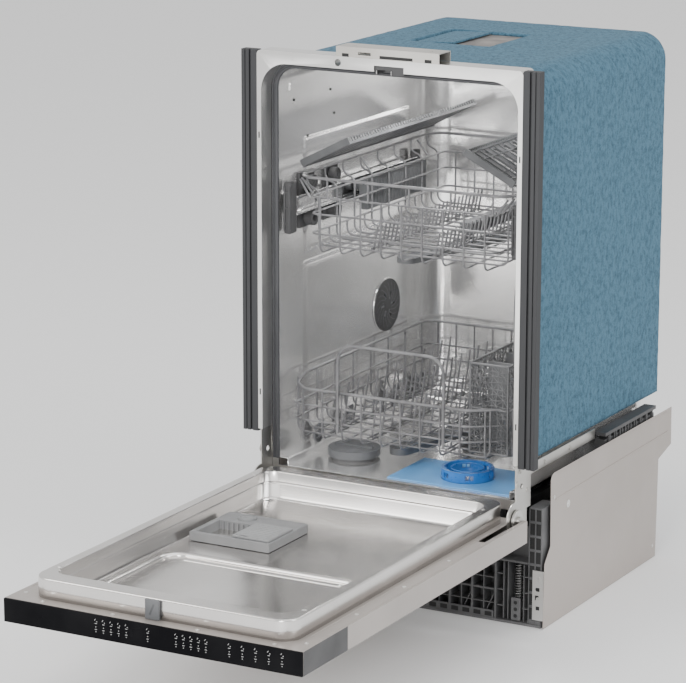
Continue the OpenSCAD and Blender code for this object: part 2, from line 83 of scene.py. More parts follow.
room = bpy.data.worlds.new("white_room")
bpy.context.scene.world = room
room.use_nodes = True
room_nodes = room.node_tree.nodes
room_nodes["Background"].inputs["Strength"].default_value = 1.0
room_nodes["Background"].inputs["Color"].default_value = (1.0, 1.0, 1.0, 1.0)

camera = bpy.data.objects.new("camera", bpy.data.cameras.new("camera"))
bpy.context.scene.collection.objects.link(camera)
camera.location = at(2038.4, -3834.9, 1455.7)
camera.rotation_euler = (math.radians(90 - 13.53), math.radians(-0.09), math.radians(28.81))
camera.data.sensor_width = 36
camera.data.lens = 165.47
camera.data.clip_end = 60
bpy.context.scene.camera = camera

floor_mesh = bpy.data.meshes.new("floor")
floor_mesh.from_pydata([(-9, -9, 0), (9, -9, 0), (9, 9, 0), (-9, 9, 0)], [], [(0, 1, 2, 3)])
floor = bpy.data.objects.new("floor", floor_mesh)
bpy.context.scene.collection.objects.link(floor)
floor_paint = bpy.data.materials.new("floor_paint")
floor_paint.use_nodes = True
floor_paint.node_tree.nodes["Principled BSDF"].inputs["Base Color"].default_value = (0.93, 0.93,
                                                                                     0.93, 1)
floor_paint.node_tree.nodes["Principled BSDF"].inputs["Roughness"].default_value = 0.75
floor_mesh.materials.append(floor_paint)

# ---------------------------------------------------------------- wash tub
# The tub is drawn from one sheet of 18/10 stainless steel and polished inside.
# Its walls carry pressed panels, and a ledge at each foot carries the rack wheels.


def finish_of(name, colour, rough, metal=0.0, coat=0.0):
    """A new material with its shader and the object coordinates, ready for its own pattern."""
    made = bpy.data.materials.new(name)
    made.use_nodes = True
    tree = made.node_tree
    shader = tree.nodes["Principled BSDF"]
    shader.inputs["Base Color"].default_value = (*colour, 1)
    shader.inputs["Roughness"].default_value = rough
    shader.inputs["Metallic"].default_value = metal
    shader.inputs["Coat Weight"].default_value = coat
    coords = tree.nodes.new("ShaderNodeTexCoord").outputs["Object"]
    return made, tree, shader, coords


def grain(tree, coords, scale, stretch=(1, 1, 1), detail=3.0):
    """Noise over the surface, pulled out along one direction where the grain has one."""
    turn = tree.nodes.new("ShaderNodeMapping")
    turn.inputs["Scale"].default_value = stretch
    noise = tree.nodes.new("ShaderNodeTexNoise")
    noise.inputs["Scale"].default_value = scale
    noise.inputs["Detail"].default_value = detail
    tree.links.new(coords, turn.inputs["Vector"])
    tree.links.new(turn.outputs["Vector"], noise.inputs["Vector"])
    return noise.outputs["Fac"]


def worked(tree, operation, first, second):
    """A maths node on a socket and either a second socket or a number."""
    made = tree.nodes.new("ShaderNodeMath")
    made.operation = operation
    tree.links.new(first, made.inputs[0])
    if isinstance(second, float):
        made.inputs[1].default_value = second
    else:
        tree.links.new(second, made.inputs[1])
    return made.outputs[0]


def tint_by(tree, shader, amount, dark, light, low=0.35, high=0.65):
    """Runs the base colour from dark to light with a pattern."""
    ramp = tree.nodes.new("ShaderNodeValToRGB")
    ramp.color_ramp.elements[0].position, ramp.color_ramp.elements[0].color = low, (*dark, 1)
    ramp.color_ramp.elements[1].position, ramp.color_ramp.elements[1].color = high, (*light, 1)
    tree.links.new(amount, ramp.inputs["Fac"])
    tree.links.new(ramp.outputs["Color"], shader.inputs["Base Color"])


def rough_by(tree, shader, amount, smooth, coarse):
    """Runs the roughness between two values with a pattern."""
    spread = tree.nodes.new("ShaderNodeMapRange")
    spread.inputs["To Min"].default_value, spread.inputs["To Max"].default_value = smooth, coarse
    tree.links.new(amount, spread.inputs["Value"])
    tree.links.new(spread.outputs["Result"], shader.inputs["Roughness"])


def relief(tree, shader, amount, strength, depth):
    """Raises the surface with a pattern, depth in metres, on top of any relief already there."""
    bump = tree.nodes.new("ShaderNodeBump")
    bump.inputs["Strength"].default_value, bump.inputs["Distance"].default_value = strength, depth
    tree.links.new(amount, bump.inputs["Height"])
    if shader.inputs["Normal"].is_linked:
        tree.links.new(shader.inputs["Normal"].links[0].from_socket, bump.inputs["Normal"])
    tree.links.new(bump.outputs["Normal"], shader.inputs["Normal"])


def plain_finish(name, colour, rough, mottle, dark, light, gloss, bumps=None, strength=0.0,
                 depth=0.0,
                 metal=0.0, coat=0.0):
    """A mottled finish: mottle and bumps are grain's settings, gloss its scale, smooth and coarse."""
    made, tree, shader, coords = finish_of(name, colour, rough, metal, coat)
    tint_by(tree, shader, grain(tree, coords, *mottle), dark, light)
    gloss_scale, smooth, coarse = gloss
    rough_by(tree, shader, grain(tree, coords, gloss_scale), smooth, coarse)
    if bumps:
        relief(tree, shader, grain(tree, coords, *bumps), strength, depth)
    return made


def steel(name, dark, light, smooth, coarse, along, fine=900, wave=0.0):
    """Sheet steel: long rolling grain, slight tarnish and, where asked, the sheet's own waviness."""
    made, tree, shader, coords = finish_of(name, light, smooth, metal=1.0)
    rolling = grain(tree, coords, fine, along, 2.0)
    clouds = grain(tree, coords, 9, (1, 1, 1), 4.0)
    tint_by(tree, shader, clouds, dark, light, 0.3, 0.7)
    rough_by(tree, shader, clouds, smooth, coarse)
    if wave:
        relief(tree, shader, grain(tree, coords, 5, (1, 1, 1), 1.0), wave, 0.006)
    relief(tree, shader, rolling, 0.12, 0.0002)
    return made


polished_steel = steel("polished_steel", (0.86, 0.855, 0.845), (0.95, 0.945, 0.94), 0.11, 0.24,
                       (0.02, 0.02, 1), 700, 0.16)
polished_steel.node_tree.nodes["Principled BSDF"].inputs["Metallic"].default_value = 0.86


def keep(name, mesh, material, body, slot, *nodes, smooth=None):
    """Links a finished mesh as a piece of the machine that rides on a body."""
    piece = bpy.data.objects.new(name, mesh)
    bpy.context.scene.collection.objects.link(piece)
    if material is not None and not mesh.materials:
        mesh.materials.append(material)
    if smooth is not None:
        mesh.shade_smooth()
        mesh.set_sharp_from_angle(angle=math.radians(smooth))
    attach(piece, body)
    if nodes:
        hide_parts(*nodes)
    return piece


def skin(shape, loops):
    """Joins each closed loop of points to the next with four-cornered faces."""
    for near, far in zip(loops, loops[1:]):
        for k in range(len(near)):
            n = (k + 1) % len(near)
            shape.faces.new((near[k], near[n], far[n], far[k]))


def on_circle(cx, cy, radius, degrees):
    """The two coordinates of a place on a circle."""
    turn = math.radians(degrees)
    return cx + radius * math.cos(turn), cy + radius * math.sin(turn)


def middle(low, high):
    """The middle of a box across and back, and half its width, in millimetres."""
    return (low.x + high.x) * 500, (low.y + high.y) * 500 - FRONT * 1000, (high.x - low.x) * 500


def mesh_of(name, shape):
    """Turns a bmesh with outward faces into a mesh and frees it."""
    mesh = bpy.data.meshes.new(name)
    shape.to_mesh(mesh)
    shape.free()
    return mesh


def pressed(y, z, y0, y1, z0, z1, edge=5.0):
    """How far a place lies inside a pressed panel, from 0 outside to 1 on its flat."""
    inside = min(y - y0, y1 - y, z - z0, z1 - z) / edge
    inside = max(0.0, min(1.0, inside))
    return inside * inside * (3 - 2 * inside)


def even(low, high, step):
    """Evenly spaced values from low to high, near the step asked for."""
    count = max(1, round((high - low) / step))
    return [low + (high - low) * k / count for k in range(count + 1)]


tub_half, tub_top, tub_floor, ledge = 194.5, 794.5, 195.0, 206.3
tub_round, tub_back_round, tub_end = 37.0, 50.0, 500.0
wall_zs = sorted(set(even(ledge + 4, 480, 9) + [482, 484, 486, 488, 492, 497, 500, 503, 506]
                     + even(510, 664, 9)
                     + [668, 670, 672, 674, 677] + even(682, tub_top - tub_round, 9)))
tub_rings = [(y, 0.0) for y in [36, 36.6, 60, 90, 101, 104, 107, 110, 113] + even(120, 430, 12)
             + [434, 437, 440, 443, 448]]
for k in range(1, 13):
    turn = math.radians(90 * k / 12)
    tub_rings.append((tub_end - tub_back_round + tub_back_round * math.sin(turn),
                      tub_back_round * (1 - math.cos(turn))))
tub_shape = bmesh.new()
tub_loops = []
for y, inset in tub_rings:
    half, top, low = tub_half - inset, tub_top - inset, tub_floor + inset
    corner = max(tub_round - inset, 4.0)
    step_in = max(0.0, 14.5 - inset * 0.7)
    points = [(-half + step_in, low), (-half + step_in, max(low, ledge - 1.5)),
              (-half + step_in - min(1.5, step_in), max(low, ledge)), (-half, max(low, ledge))]
    left = [(-half, max(z, low + 1)) for z in wall_zs if z <= top - corner]
    while len(left) < len(wall_zs):
        left.append((-half, top - corner))
    points += left
    for k in range(1, 9):
        turn = math.radians(180 - 90 * k / 8)
        points.append((-half + corner + corner * math.cos(turn), top - corner
                       + corner * math.sin(turn)))
    points += [(x * (half - corner) / 150, top) for x in (-90, -30, 30, 90)]
    points += [(-x, z) for x, z in reversed(points[: 4 + len(wall_zs) + 8])]
    points += [(x * half / 180, low) for x in (120, 60, 0, -60, -120)]
    loop = []
    for x, z in points:
        push = 0.0
        if abs(x) > half - 0.01 and inset == 0:
            push = 2.4 * pressed(y, z, 107, 440, 240, 486) + 2.4 * pressed(y, z, 107, 440, 500, 672)
        loop.append(tub_shape.verts.new(at(x - math.copysign(push, x), y, z)))
    tub_loops.append(loop)
skin(tub_shape, tub_loops)
tub_shape.faces.new(tub_loops[-1])
bmesh.ops.remove_doubles(tub_shape, verts=tub_shape.verts, dist=0.00005)
bmesh.ops.dissolve_degenerate(tub_shape, dist=0.00002, edges=tub_shape.edges)
bmesh.ops.recalc_face_normals(tub_shape, faces=tub_shape.faces)
tub_mesh = mesh_of("tub", tub_shape)
tub = keep("wash_tub", tub_mesh, polished_steel, "cabinet", "polished_steel", "tub", smooth=40)
tub_wall = tub.modifiers.new("sheet", "SOLIDIFY")
tub_wall.thickness, tub_wall.offset = 0.0014, 1.0

# ---------------------------------------------------------------- felt blanket
# A needled felt of recycled fibre is glued round the tub to deaden its noise.
# It is cut open over the tub's top stiffener, where the flap is left folded over.

felt_wool, tree, shader, coords = finish_of("felt_wool", (0.13, 0.25, 0.32), 0.95)
shader.inputs["Sheen Weight"].default_value = 0.02
shader.inputs["Sheen Roughness"].default_value = 0.6
fibre = grain(tree, coords, 420, (1, 1, 1), 6.0)
tufts = grain(tree, coords, 150, (1, 1, 0.7), 3.0)
mix = tree.nodes.new("ShaderNodeMath")
mix.operation = "MULTIPLY_ADD"
mix.inputs[1].default_value = 0.5
tree.links.new(fibre, mix.inputs[0])
tree.links.new(worked(tree, "MULTIPLY", tufts, 0.5), mix.inputs[2])
tint_by(tree, shader, mix.outputs[0], (0.017, 0.062, 0.100), (0.068, 0.165, 0.240), 0.34, 0.56)
relief(tree, shader, fibre, 0.6, 0.0015)
relief(tree, shader, tufts, 0.6, 0.003)


def socket(tree, name, kind, default=None):
    """A named input of a geometry tree."""
    made = tree.interface.new_socket(name=name, in_out="INPUT", socket_type=kind)
    if default is not None:
        made.default_value = default
    return made.identifier


def new_tree(name):
    """An empty geometry tree with its geometry in and out and a material input."""
    tree = bpy.data.node_groups.new(name, "GeometryNodeTree")
    tree.interface.new_socket(name="Geometry", in_out="INPUT", socket_type="NodeSocketGeometry")
    tree.interface.new_socket(name="Geometry", in_out="OUTPUT", socket_type="NodeSocketGeometry")
    ids = {"Material": socket(tree, "Material", "NodeSocketMaterial")}
    return tree, tree.nodes.new("NodeGroupInput"), tree.nodes.new("NodeGroupOutput"), ids


def close_tree(tree, source, given, out):
    """Ends a tree in Realize Instances and Set Material."""
    real = tree.nodes.new("GeometryNodeRealizeInstances")
    paint = tree.nodes.new("GeometryNodeSetMaterial")
    tree.links.new(source, real.inputs[0])
    tree.links.new(real.outputs[0], paint.inputs["Geometry"])
    tree.links.new(given.outputs["Material"], paint.inputs["Material"])
    tree.links.new(paint.outputs[0], out.inputs[0])


def grow(name, seed_mesh, tree, values):
    """Runs a geometry tree on a seed mesh and returns the plain mesh that it makes."""
    seed = bpy.data.objects.new(name + "_seed", seed_mesh)
    bpy.context.scene.collection.objects.link(seed)
    modifier = seed.modifiers.new("tree", "NODES")
    modifier.node_group = tree
    for identifier, value in values.items():
        modifier[identifier] = value
    graph = bpy.context.evaluated_depsgraph_get()
    mesh = bpy.data.meshes.new_from_object(seed.evaluated_get(graph))
    bpy.data.objects.remove(seed)
    mesh.name = name
    return mesh


felt_tree, given, out, felt_ids = new_tree("needled_felt")
felt_ids["Depth"] = socket(felt_tree, "Depth", "NodeSocketFloat", 0.0008)
felt_ids["Dimple Size"] = socket(felt_tree, "Dimple Size", "NodeSocketFloat", 85.0)
lumps = felt_tree.nodes.new("ShaderNodeTexNoise")
lumps.inputs["Detail"].default_value = 2.0
felt_tree.links.new(given.outputs["Dimple Size"], lumps.inputs["Scale"])
centred = worked(felt_tree, "SUBTRACT", lumps.outputs["Fac"], 0.62)
depth = worked(felt_tree, "MULTIPLY", centred, given.outputs["Depth"])
outward = felt_tree.nodes.new("GeometryNodeInputNormal")
shift = felt_tree.nodes.new("ShaderNodeVectorMath")
shift.operation = "SCALE"
felt_tree.links.new(outward.outputs[0], shift.inputs[0])
felt_tree.links.new(depth, shift.inputs["Scale"])
placed = felt_tree.nodes.new("GeometryNodeSetPosition")
felt_tree.links.new(given.outputs["Geometry"], placed.inputs["Geometry"])
felt_tree.links.new(shift.outputs[0], placed.inputs["Offset"])
close_tree(felt_tree, placed.outputs[0], given, out)

felt_low, felt_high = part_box("felt_wrap")
felt_half = felt_high.x * 1000
felt_z0, felt_z1 = felt_low.z * 1000, felt_high.z * 1000
felt_y0, felt_y1 = 46.0, (felt_high.y - FRONT) * 1000
felt_round, felt_corner_steps, felt_pitch, back_steps = 40.0, 14, 4.6, 40
flap_x0, flap_x1, flap_y0, flap_y1 = -96.0, 34.0, 252.0, 392.0
felt_line = [(-felt_half, z) for z in even(felt_z0, felt_z1 - felt_round, felt_pitch)]
for k in range(1, felt_corner_steps):
    turn = math.radians(180 - 90 * k / felt_corner_steps)
    felt_line.append((-felt_half + felt_round + felt_round * math.cos(turn),
                      felt_z1 - felt_round + felt_round * math.sin(turn)))
felt_line += [(x, felt_z1) for x in even(-felt_half + felt_round, flap_x0, felt_pitch)]
felt_line += [(x, felt_z1) for x in even(flap_x0, flap_x1, felt_pitch)[1:]]
felt_line += [(x, felt_z1) for x in even(flap_x1, felt_half - felt_round, felt_pitch)[1:]]
felt_line += [(-x, z) for x, z in reversed(felt_line) if x < -felt_half + felt_round]
felt_ys = (even(felt_y0, flap_y0, felt_pitch) + even(flap_y0, flap_y1, felt_pitch)[1:]
           + even(flap_y1, felt_y1, felt_pitch)[1:])
felt_shape = bmesh.new()
felt_grid = [[felt_shape.verts.new(at(x, y, z)) for x, z in felt_line] for y in felt_ys]
for j in range(len(felt_ys) - 1):
    for i in range(len(felt_line) - 1):
        mid_x = (felt_line[i][0] + felt_line[i + 1][0]) / 2
        mid_y = (felt_ys[j] + felt_ys[j + 1]) / 2
        if felt_line[i][1] == felt_z1 and flap_x0 < mid_x < flap_x1 and flap_y0 < mid_y < flap_y1:
            continue
        felt_shape.faces.new((felt_grid[j][i], felt_grid[j][i + 1], felt_grid[j + 1][i + 1],
                              felt_grid[j + 1][i]))
back_rows = [felt_grid[-1]]
for share in [k / back_steps for k in range(1, back_steps)]:
    back_rows.append([felt_shape.verts.new(at(x * (1 - share), felt_y1,
                                             z + (felt_z0 + 120 - z) * share * 0.999))
                      for x, z in felt_line])
for row, inner in zip(back_rows, back_rows[1:]):
    for i in range(len(felt_line) - 1):
        felt_shape.faces.new((row[i], row[i + 1], inner[i + 1], inner[i]))
felt_shape.faces.new(back_rows[-1])
foot = [row[0] for row in back_rows] + [row[-1] for row in reversed(back_rows)]
felt_shape.faces.new(foot)
bmesh.ops.remove_doubles(felt_shape, verts=felt_shape.verts, dist=0.0001)
loose = [v for v in felt_shape.verts if not v.link_faces]
bmesh.ops.delete(felt_shape, geom=loose, context="VERTS")
bmesh.ops.recalc_face_normals(felt_shape, faces=felt_shape.faces)
felt_mesh = grow("felt_blanket", mesh_of("felt_seed", felt_shape), felt_tree,
                 {felt_ids["Material"]: felt_wool, felt_ids["Depth"]: 0.0016,
                  felt_ids["Dimple Size"]: 75.0})
felt = keep("felt_blanket", felt_mesh, felt_wool, "cabinet", "teal_felt", "felt_wrap", smooth=60)
felt_body = felt.modifiers.new("thickness", "SOLIDIFY")
felt_body.thickness, felt_body.offset = 0.0054, -1.0

# ---------------------------------------------------------------- front frame
# A folded stainless frame is welded round the tub's mouth; it carries the seal and the strips.
# Its face is brushed, with small rivets down both flanges and a lock slot in the top bar.


def cad_copy(node):
    """A CAD shape in place, with doubled points merged and its flats made whole."""
    shape = bmesh.new()
    shape.from_mesh(cad[node].data)
    shape.transform(cad[node].matrix_world)
    bmesh.ops.remove_doubles(shape, verts=shape.verts, dist=0.00003)
    bmesh.ops.dissolve_limit(shape, angle_limit=math.radians(0.6), verts=shape.verts,
                             edges=shape.edges)
    return shape


def soften(name, node, body, slot, material, width=0.6, segments=2, angle=32):
    """A copy of a CAD shape with its edges rounded over, standing in for it."""
    piece = keep(name, mesh_of(name, cad_copy(node)), material, body, slot, node, smooth=35)
    if width:
        edge = piece.modifiers.new("edges", "BEVEL")
        edge.width, edge.segments, edge.limit_method = width / 1000, segments, "ANGLE"
        edge.angle_limit, edge.use_clamp_overlap = math.radians(angle), True
        edge.harden_normals = True
    return piece


block_tree, given, out, block_ids = new_tree("blocks_on_points")
block_ids["Size"] = socket(block_tree, "Size", "NodeSocketVector", (0.01, 0.01, 0.01))
block_ids["Turn"] = socket(block_tree, "Turn", "NodeSocketVector", (0, 0, 0))
block_shape = block_tree.nodes.new("GeometryNodeMeshCube")
block_spread = block_tree.nodes.new("GeometryNodeInstanceOnPoints")
block_tree.links.new(given.outputs["Size"], block_shape.inputs["Size"])
block_tree.links.new(given.outputs["Geometry"], block_spread.inputs["Points"])
block_tree.links.new(block_shape.outputs["Mesh"], block_spread.inputs["Instance"])
block_tree.links.new(given.outputs["Turn"], block_spread.inputs["Rotation"])
close_tree(block_tree, block_spread.outputs[0], given, out)

disc_tree, given, out, disc_ids = new_tree("discs_on_points")
disc_ids["Radius"] = socket(disc_tree, "Radius", "NodeSocketFloat", 0.003)
disc_ids["Depth"] = socket(disc_tree, "Depth", "NodeSocketFloat", 0.002)
disc_ids["Turn"] = socket(disc_tree, "Turn", "NodeSocketVector", (0, 0, 0))
disc_ids["Recess"] = socket(disc_tree, "Recess", "NodeSocketFloat", 0.0012)
disc_shape = disc_tree.nodes.new("GeometryNodeMeshCylinder")
disc_shape.inputs["Vertices"].default_value = 20
disc_tree.links.new(given.outputs["Radius"], disc_shape.inputs["Radius"])
disc_tree.links.new(given.outputs["Depth"], disc_shape.inputs["Depth"])
disc_dip = disc_tree.nodes.new("GeometryNodeExtrudeMesh")
disc_dip.mode = "FACES"
disc_tree.links.new(disc_shape.outputs["Mesh"], disc_dip.inputs["Mesh"])
disc_tree.links.new(disc_shape.outputs["Top"], disc_dip.inputs["Selection"])
disc_dip.inputs["Offset Scale"].default_value = 0.0
disc_rim = disc_tree.nodes.new("GeometryNodeScaleElements")
disc_rim.inputs["Scale"].default_value = 0.55
disc_tree.links.new(disc_dip.outputs["Mesh"], disc_rim.inputs["Geometry"])
disc_tree.links.new(disc_dip.outputs["Top"], disc_rim.inputs["Selection"])
disc_hole = disc_tree.nodes.new("GeometryNodeExtrudeMesh")
disc_hole.mode = "FACES"
down = worked(disc_tree, "MULTIPLY", given.outputs["Recess"], -1.0)
disc_tree.links.new(disc_rim.outputs["Geometry"], disc_hole.inputs["Mesh"])
disc_tree.links.new(disc_dip.outputs["Top"], disc_hole.inputs["Selection"])
disc_tree.links.new(down, disc_hole.inputs["Offset Scale"])
disc_spread = disc_tree.nodes.new("GeometryNodeInstanceOnPoints")
disc_tree.links.new(given.outputs["Geometry"], disc_spread.inputs["Points"])
disc_tree.links.new(disc_hole.outputs["Mesh"], disc_spread.inputs["Instance"])
disc_tree.links.new(given.outputs["Turn"], disc_spread.inputs["Rotation"])
close_tree(disc_tree, disc_spread.outputs[0], given, out)


def points_mesh(name, places):
    """A mesh of loose points at millimetre places."""
    mesh = bpy.data.meshes.new(name)
    mesh.from_pydata([at(*p) for p in places], [], [])
    return mesh


def blocks(name, body, slot, material, places, size, turn=(0, 0, 0), bevel=0.3):
    """The same small block at each place, sizes in millimetres and turns in degrees."""
    mesh = grow(name, points_mesh(name, places), block_tree, {
        block_ids["Material"]: material, block_ids["Size"]: [s / 1000 for s in size],
        block_ids["Turn"]: [math.radians(t) for t in turn]})
    piece = keep(name, mesh, material, body, slot, smooth=35)
    if bevel:
        edge = piece.modifiers.new("edges", "BEVEL")
        edge.width, edge.segments = bevel / 1000, 2
    return piece


def screws(name, body, slot, material, places, radius, depth, turn, recess=1.2):
    """The same round head with a socket at each place, turned from facing up."""
    mesh = grow(name, points_mesh(name, places), disc_tree, {
        disc_ids["Material"]: material, disc_ids["Radius"]: radius / 1000,
        disc_ids["Depth"]: depth / 1000, disc_ids["Recess"]: recess / 1000,
        disc_ids["Turn"]: [math.radians(t) for t in turn]})
    return keep(name, mesh, material, body, slot, smooth=35)


satin_steel = steel("satin_steel", (0.70, 0.695, 0.68), (0.82, 0.815, 0.80), 0.24, 0.36,
                    (0.03, 1, 0.03), 900)
mouth = soften("front_frame", "front_frame", "cabinet", "satin_steel", satin_steel, 0.8)
# Painted shade: a flat near-black finish laid over slots, gaps, holes and sockets that are not cut
# open, standing in for the shade inside them.
painted_hole_shade, tree, shader, coords = finish_of("painted_hole_shade", (0.012, 0.012, 0.012), 0.7)
rough_by(tree, shader, grain(tree, coords, 300), 0.6, 0.8)
screws("frame_rivets", "cabinet", "satin_steel", satin_steel,
       [(s * 205.8, 0.4, z) for s in (-1, 1) for z in (292, 330, 468, 560, 668, 742)], 1.9, 1.2,
       (90, 0, 0), 0.5)
screws("frame_top_screws", "cabinet", "satin_steel", satin_steel,
       [(-150, 0.4, 803), (64, 0.4, 803), (150, 0.4, 803)], 2.6, 1.2, (90, 0, 0), 0.7)
# The slots down the flanges are not cut: painted shade blocks stand in for them.
blocks("frame_slots", "cabinet", "satin_steel", painted_hole_shade,
       [(s * 206, 0.25, z) for s in (-1, 1) for z in (312, 690)], (2.2, 0.7, 9), bevel=0.2)

# ---------------------------------------------------------------- side strips
# Extruded dark rubber strips fill the gap between the machine and the kitchen cupboards.
# They push onto the frame's edges and have two grooves down their faces.

grooved_rubber, tree, shader, coords = finish_of("grooved_rubber", (0.034, 0.035, 0.038), 0.62)
bloom = grain(tree, coords, 14, (1, 1, 0.25), 5.0)
tint_by(tree, shader, bloom, (0.021, 0.022, 0.024), (0.031, 0.032, 0.035), 0.3, 0.7)
rough_by(tree, shader, bloom, 0.5, 0.72)
relief(tree, shader, grain(tree, coords, 900, (1, 1, 0.05), 2.0), 0.25, 0.0004)
for side in ("left", "right"):
    soften("side_strip_" + side, "side_strip_" + side, "cabinet", "grooved_rubber", grooved_rubber,
           0.5)

# ---------------------------------------------------------------- door seal
# A moulded rubber seal is pressed into the frame's channel round the tub's mouth.
# Its two soft lips are squeezed by the door pan when the door shuts.

seal_rubber = plain_finish("seal_rubber", (0.050, 0.051, 0.055), 0.5, (30, (1, 1, 0.3)),
                           (0.032, 0.033, 0.037), (0.046, 0.047, 0.051),
                           (60, 0.38, 0.55), (700,), 0.2, 0.0003)
seal_shape = bmesh.new()
seal_low, seal_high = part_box("tub_gasket")
seal_half, seal_top, seal_foot = seal_high.x * 1000, seal_high.z * 1000, seal_low.z * 1000
seal_section = [(0.2, 29.2), (2.4, 29.1), (3.4, 30.4), (5.4, 30.4), (6.4, 29.1), (8.6, 29.2),
                (9.9, 30.4),
                (9.9, 32.6), (0.1, 32.6)]
seal_round, seal_steps = 39.0, 16
seal_loops = []
for drop, y in seal_section:
    line = [(-seal_half + drop, z) for z in even(seal_foot + 0.2, seal_top - 38, 40)]
    round_in = seal_round - drop
    for k in range(1, seal_steps + 1):
        turn = math.radians(180 - 90 * k / seal_steps)
        line.append((-seal_half + seal_round + round_in * math.cos(turn),
                     seal_top - seal_round + round_in * math.sin(turn)))
    line += [(-x, z) for x, z in reversed(line)]
    seal_loops.append([seal_shape.verts.new(at(x, y, z)) for x, z in line])
for k, near in enumerate(seal_loops):
    far = seal_loops[(k + 1) % len(seal_loops)]
    for i in range(len(near) - 1):
        seal_shape.faces.new((near[i], near[i + 1], far[i + 1], far[i]))
for end in (0, -1):
    seal_shape.faces.new([loop[end] for loop in seal_loops])
bmesh.ops.recalc_face_normals(seal_shape, faces=seal_shape.faces)
mouth.data.materials.append(seal_rubber)
for face in mouth.data.polygons:
    spot = face.center
    if spot.y > at(0, 32.9,
                   0).y and abs(face.normal.y) < 0.5 and abs(spot.x) < 0.1947 and spot.z < 0.7947:
        face.material_index = 1
keep("tub_seal", mesh_of("tub_seal", seal_shape), seal_rubber, "cabinet", "seal_rubber",
     "tub_gasket",
     smooth=50)

# ---------------------------------------------------------------- worktop bracket and lock
# A pressed steel bracket on top is screwed up into the worktop through its two holes.
# Below it the black moulded lock sits in the frame's slot and takes the door's latch.

cream_steel = steel("cream_steel", (0.52, 0.50, 0.465), (0.64, 0.62, 0.585), 0.36, 0.48,
                    (1, 0.04, 0.04), 700)
soften("worktop_bracket", "worktop_bracket", "cabinet", "cream_steel", cream_steel, 0.9)
# The bracket's slots, gap and notches are not cut: painted shade blocks stand in for them.
blocks("bracket_slots", "cabinet", "cream_steel", painted_hole_shade,
       [(-38, 10, 826.2), (-14, 22, 826.2), (22, 14, 826.2), (52, 12, 826.2)], (15, 4.0, 0.5),
       bevel=0.2)
blocks("bracket_gap", "cabinet", "cream_steel", painted_hole_shade, [(14, 0.4, 815)], (52, 0.5, 4.5),
       bevel=0.2)
blocks("bracket_notches", "cabinet", "cream_steel", painted_hole_shade, [(x, 0.4, 814.6) for x in (-66, 64)],
       (11, 0.5, 5), bevel=0.2)
blocks("bracket_bead", "cabinet", "cream_steel", cream_steel, [(0, 30, 826.0)], (120, 3, 0.9),
       bevel=0.4)
screws("bracket_screws", "cabinet", "cream_steel", satin_steel,
       [(-72, 24, 826.0), (74, 24, 826.0)], 3.2, 0.9, (0, 0, 0), 0.5)
black_plastic = plain_finish("black_plastic", (0.048, 0.048, 0.049), 0.48, (18, (1, 1, 1), 5.0),
                             (0.038, 0.038, 0.039), (0.062, 0.062, 0.064),
                             (40, 0.36, 0.60), (1400,), 0.18, 0.0003)
soften("door_lock", "door_lock", "cabinet", "black_plastic", black_plastic, 0.5)
blocks("lock_jaws", "cabinet", "black_plastic", satin_steel,
       [(-17.6, 3.4, 793.5), (5.2, 3.4, 793.5)],
       (0.8, 2.0, 5.6), bevel=0.2)

base_bitumen = plain_finish("bitumen", (0.19, 0.175, 0.165), 0.6, (30,), (0.13, 0.12, 0.115),
                            (0.26, 0.24, 0.225),
                            (60, 0.5, 0.7))
blocks("roof_pad", "cabinet", "black_plastic", base_bitumen, [(-31, 322, 797.0)], (128, 138, 1.2),
       bevel=0.3)
blocks("felt_flap", "cabinet", "teal_felt", felt_wool, [(-60, 324, 799.6)], (62, 126, 3.4),
       (0, -2.5, 0), 0.8)

# ---------------------------------------------------------------- hinge cheeks
# Stamped and galvanised steel cheeks below the frame hold the door's hinge pins.
# Each has a long rail behind it that is screwed to the base.

cheek_steel = steel("cheek_steel", (0.50, 0.49, 0.47), (0.66, 0.65, 0.62), 0.25, 0.42,
                    (1, 0.1, 0.1), 300)
cheek_face = 207.6
for side, sign in (("left", -1), ("right", 1)):
    soften("hinge_plate_" + side, "hinge_plate_" + side, "cabinet", "beige_steel", cheek_steel, 0.4)
    screws("hinge_screws_" + side, "cabinet", "zinc_plate", cheek_steel,
           [(sign * cheek_face, 14, 244), (sign * cheek_face, 38, 212),
            (sign * cheek_face, 96, 239.5),
            (sign * cheek_face, 180, 239.5)], 3.4, 1.4, (0, 90 * sign, 0), 1.0)
    screws("hinge_bosses_" + side, "cabinet", "zinc_plate", cheek_steel,
           [(sign * 207.4, 6, 226)], 6.0, 1.0, (0, 90 * sign, 0), 0.6)

# ---------------------------------------------------------------- base tray
# The base is one injection-moulded black tray, stiffened with webs in its front wall.
# It holds the feet, the springs' bays and, behind, the pumps and the hose fittings.

# Painted light: the tray's black plastic is given a lighter colour than the same plastic elsewhere,
# so that the tray, which stands in shade, reads brighter.
base_plastic_lit = plain_finish("base_plastic_lit", (0.105, 0.105, 0.107), 0.46, (18, (1, 1, 1), 5.0),
                            (0.085, 0.085, 0.087), (0.125, 0.125, 0.127),
                            (40, 0.36, 0.58), (1400,), 0.18, 0.0003)
soften("base_tray", "base_tray", "cabinet", "black_plastic", base_plastic_lit, 0.6)
blocks("tray_mid_ribs", "cabinet", "black_plastic", base_plastic_lit,
       [(x, 80, 54) for x in range(-126, 127, 36)], (1.6, 24, 98))
blocks("tray_slant_ribs", "cabinet", "black_plastic", base_plastic_lit,
       [(x, 80, z) for x in (-81, 27, 99, 135) for z in (24.5, 100)], (1.6, 20, 40), (0, 25, 0))
blocks("tray_ledges", "cabinet", "black_plastic", base_plastic_lit,
       [(0, 79, z) for z in (26, 64, 100)], (286, 22, 1.4))
blocks("tray_front_bar", "cabinet", "black_plastic", base_plastic_lit, [(0, 66.6, 9)], (286, 2.4, 12),
       bevel=0.5)
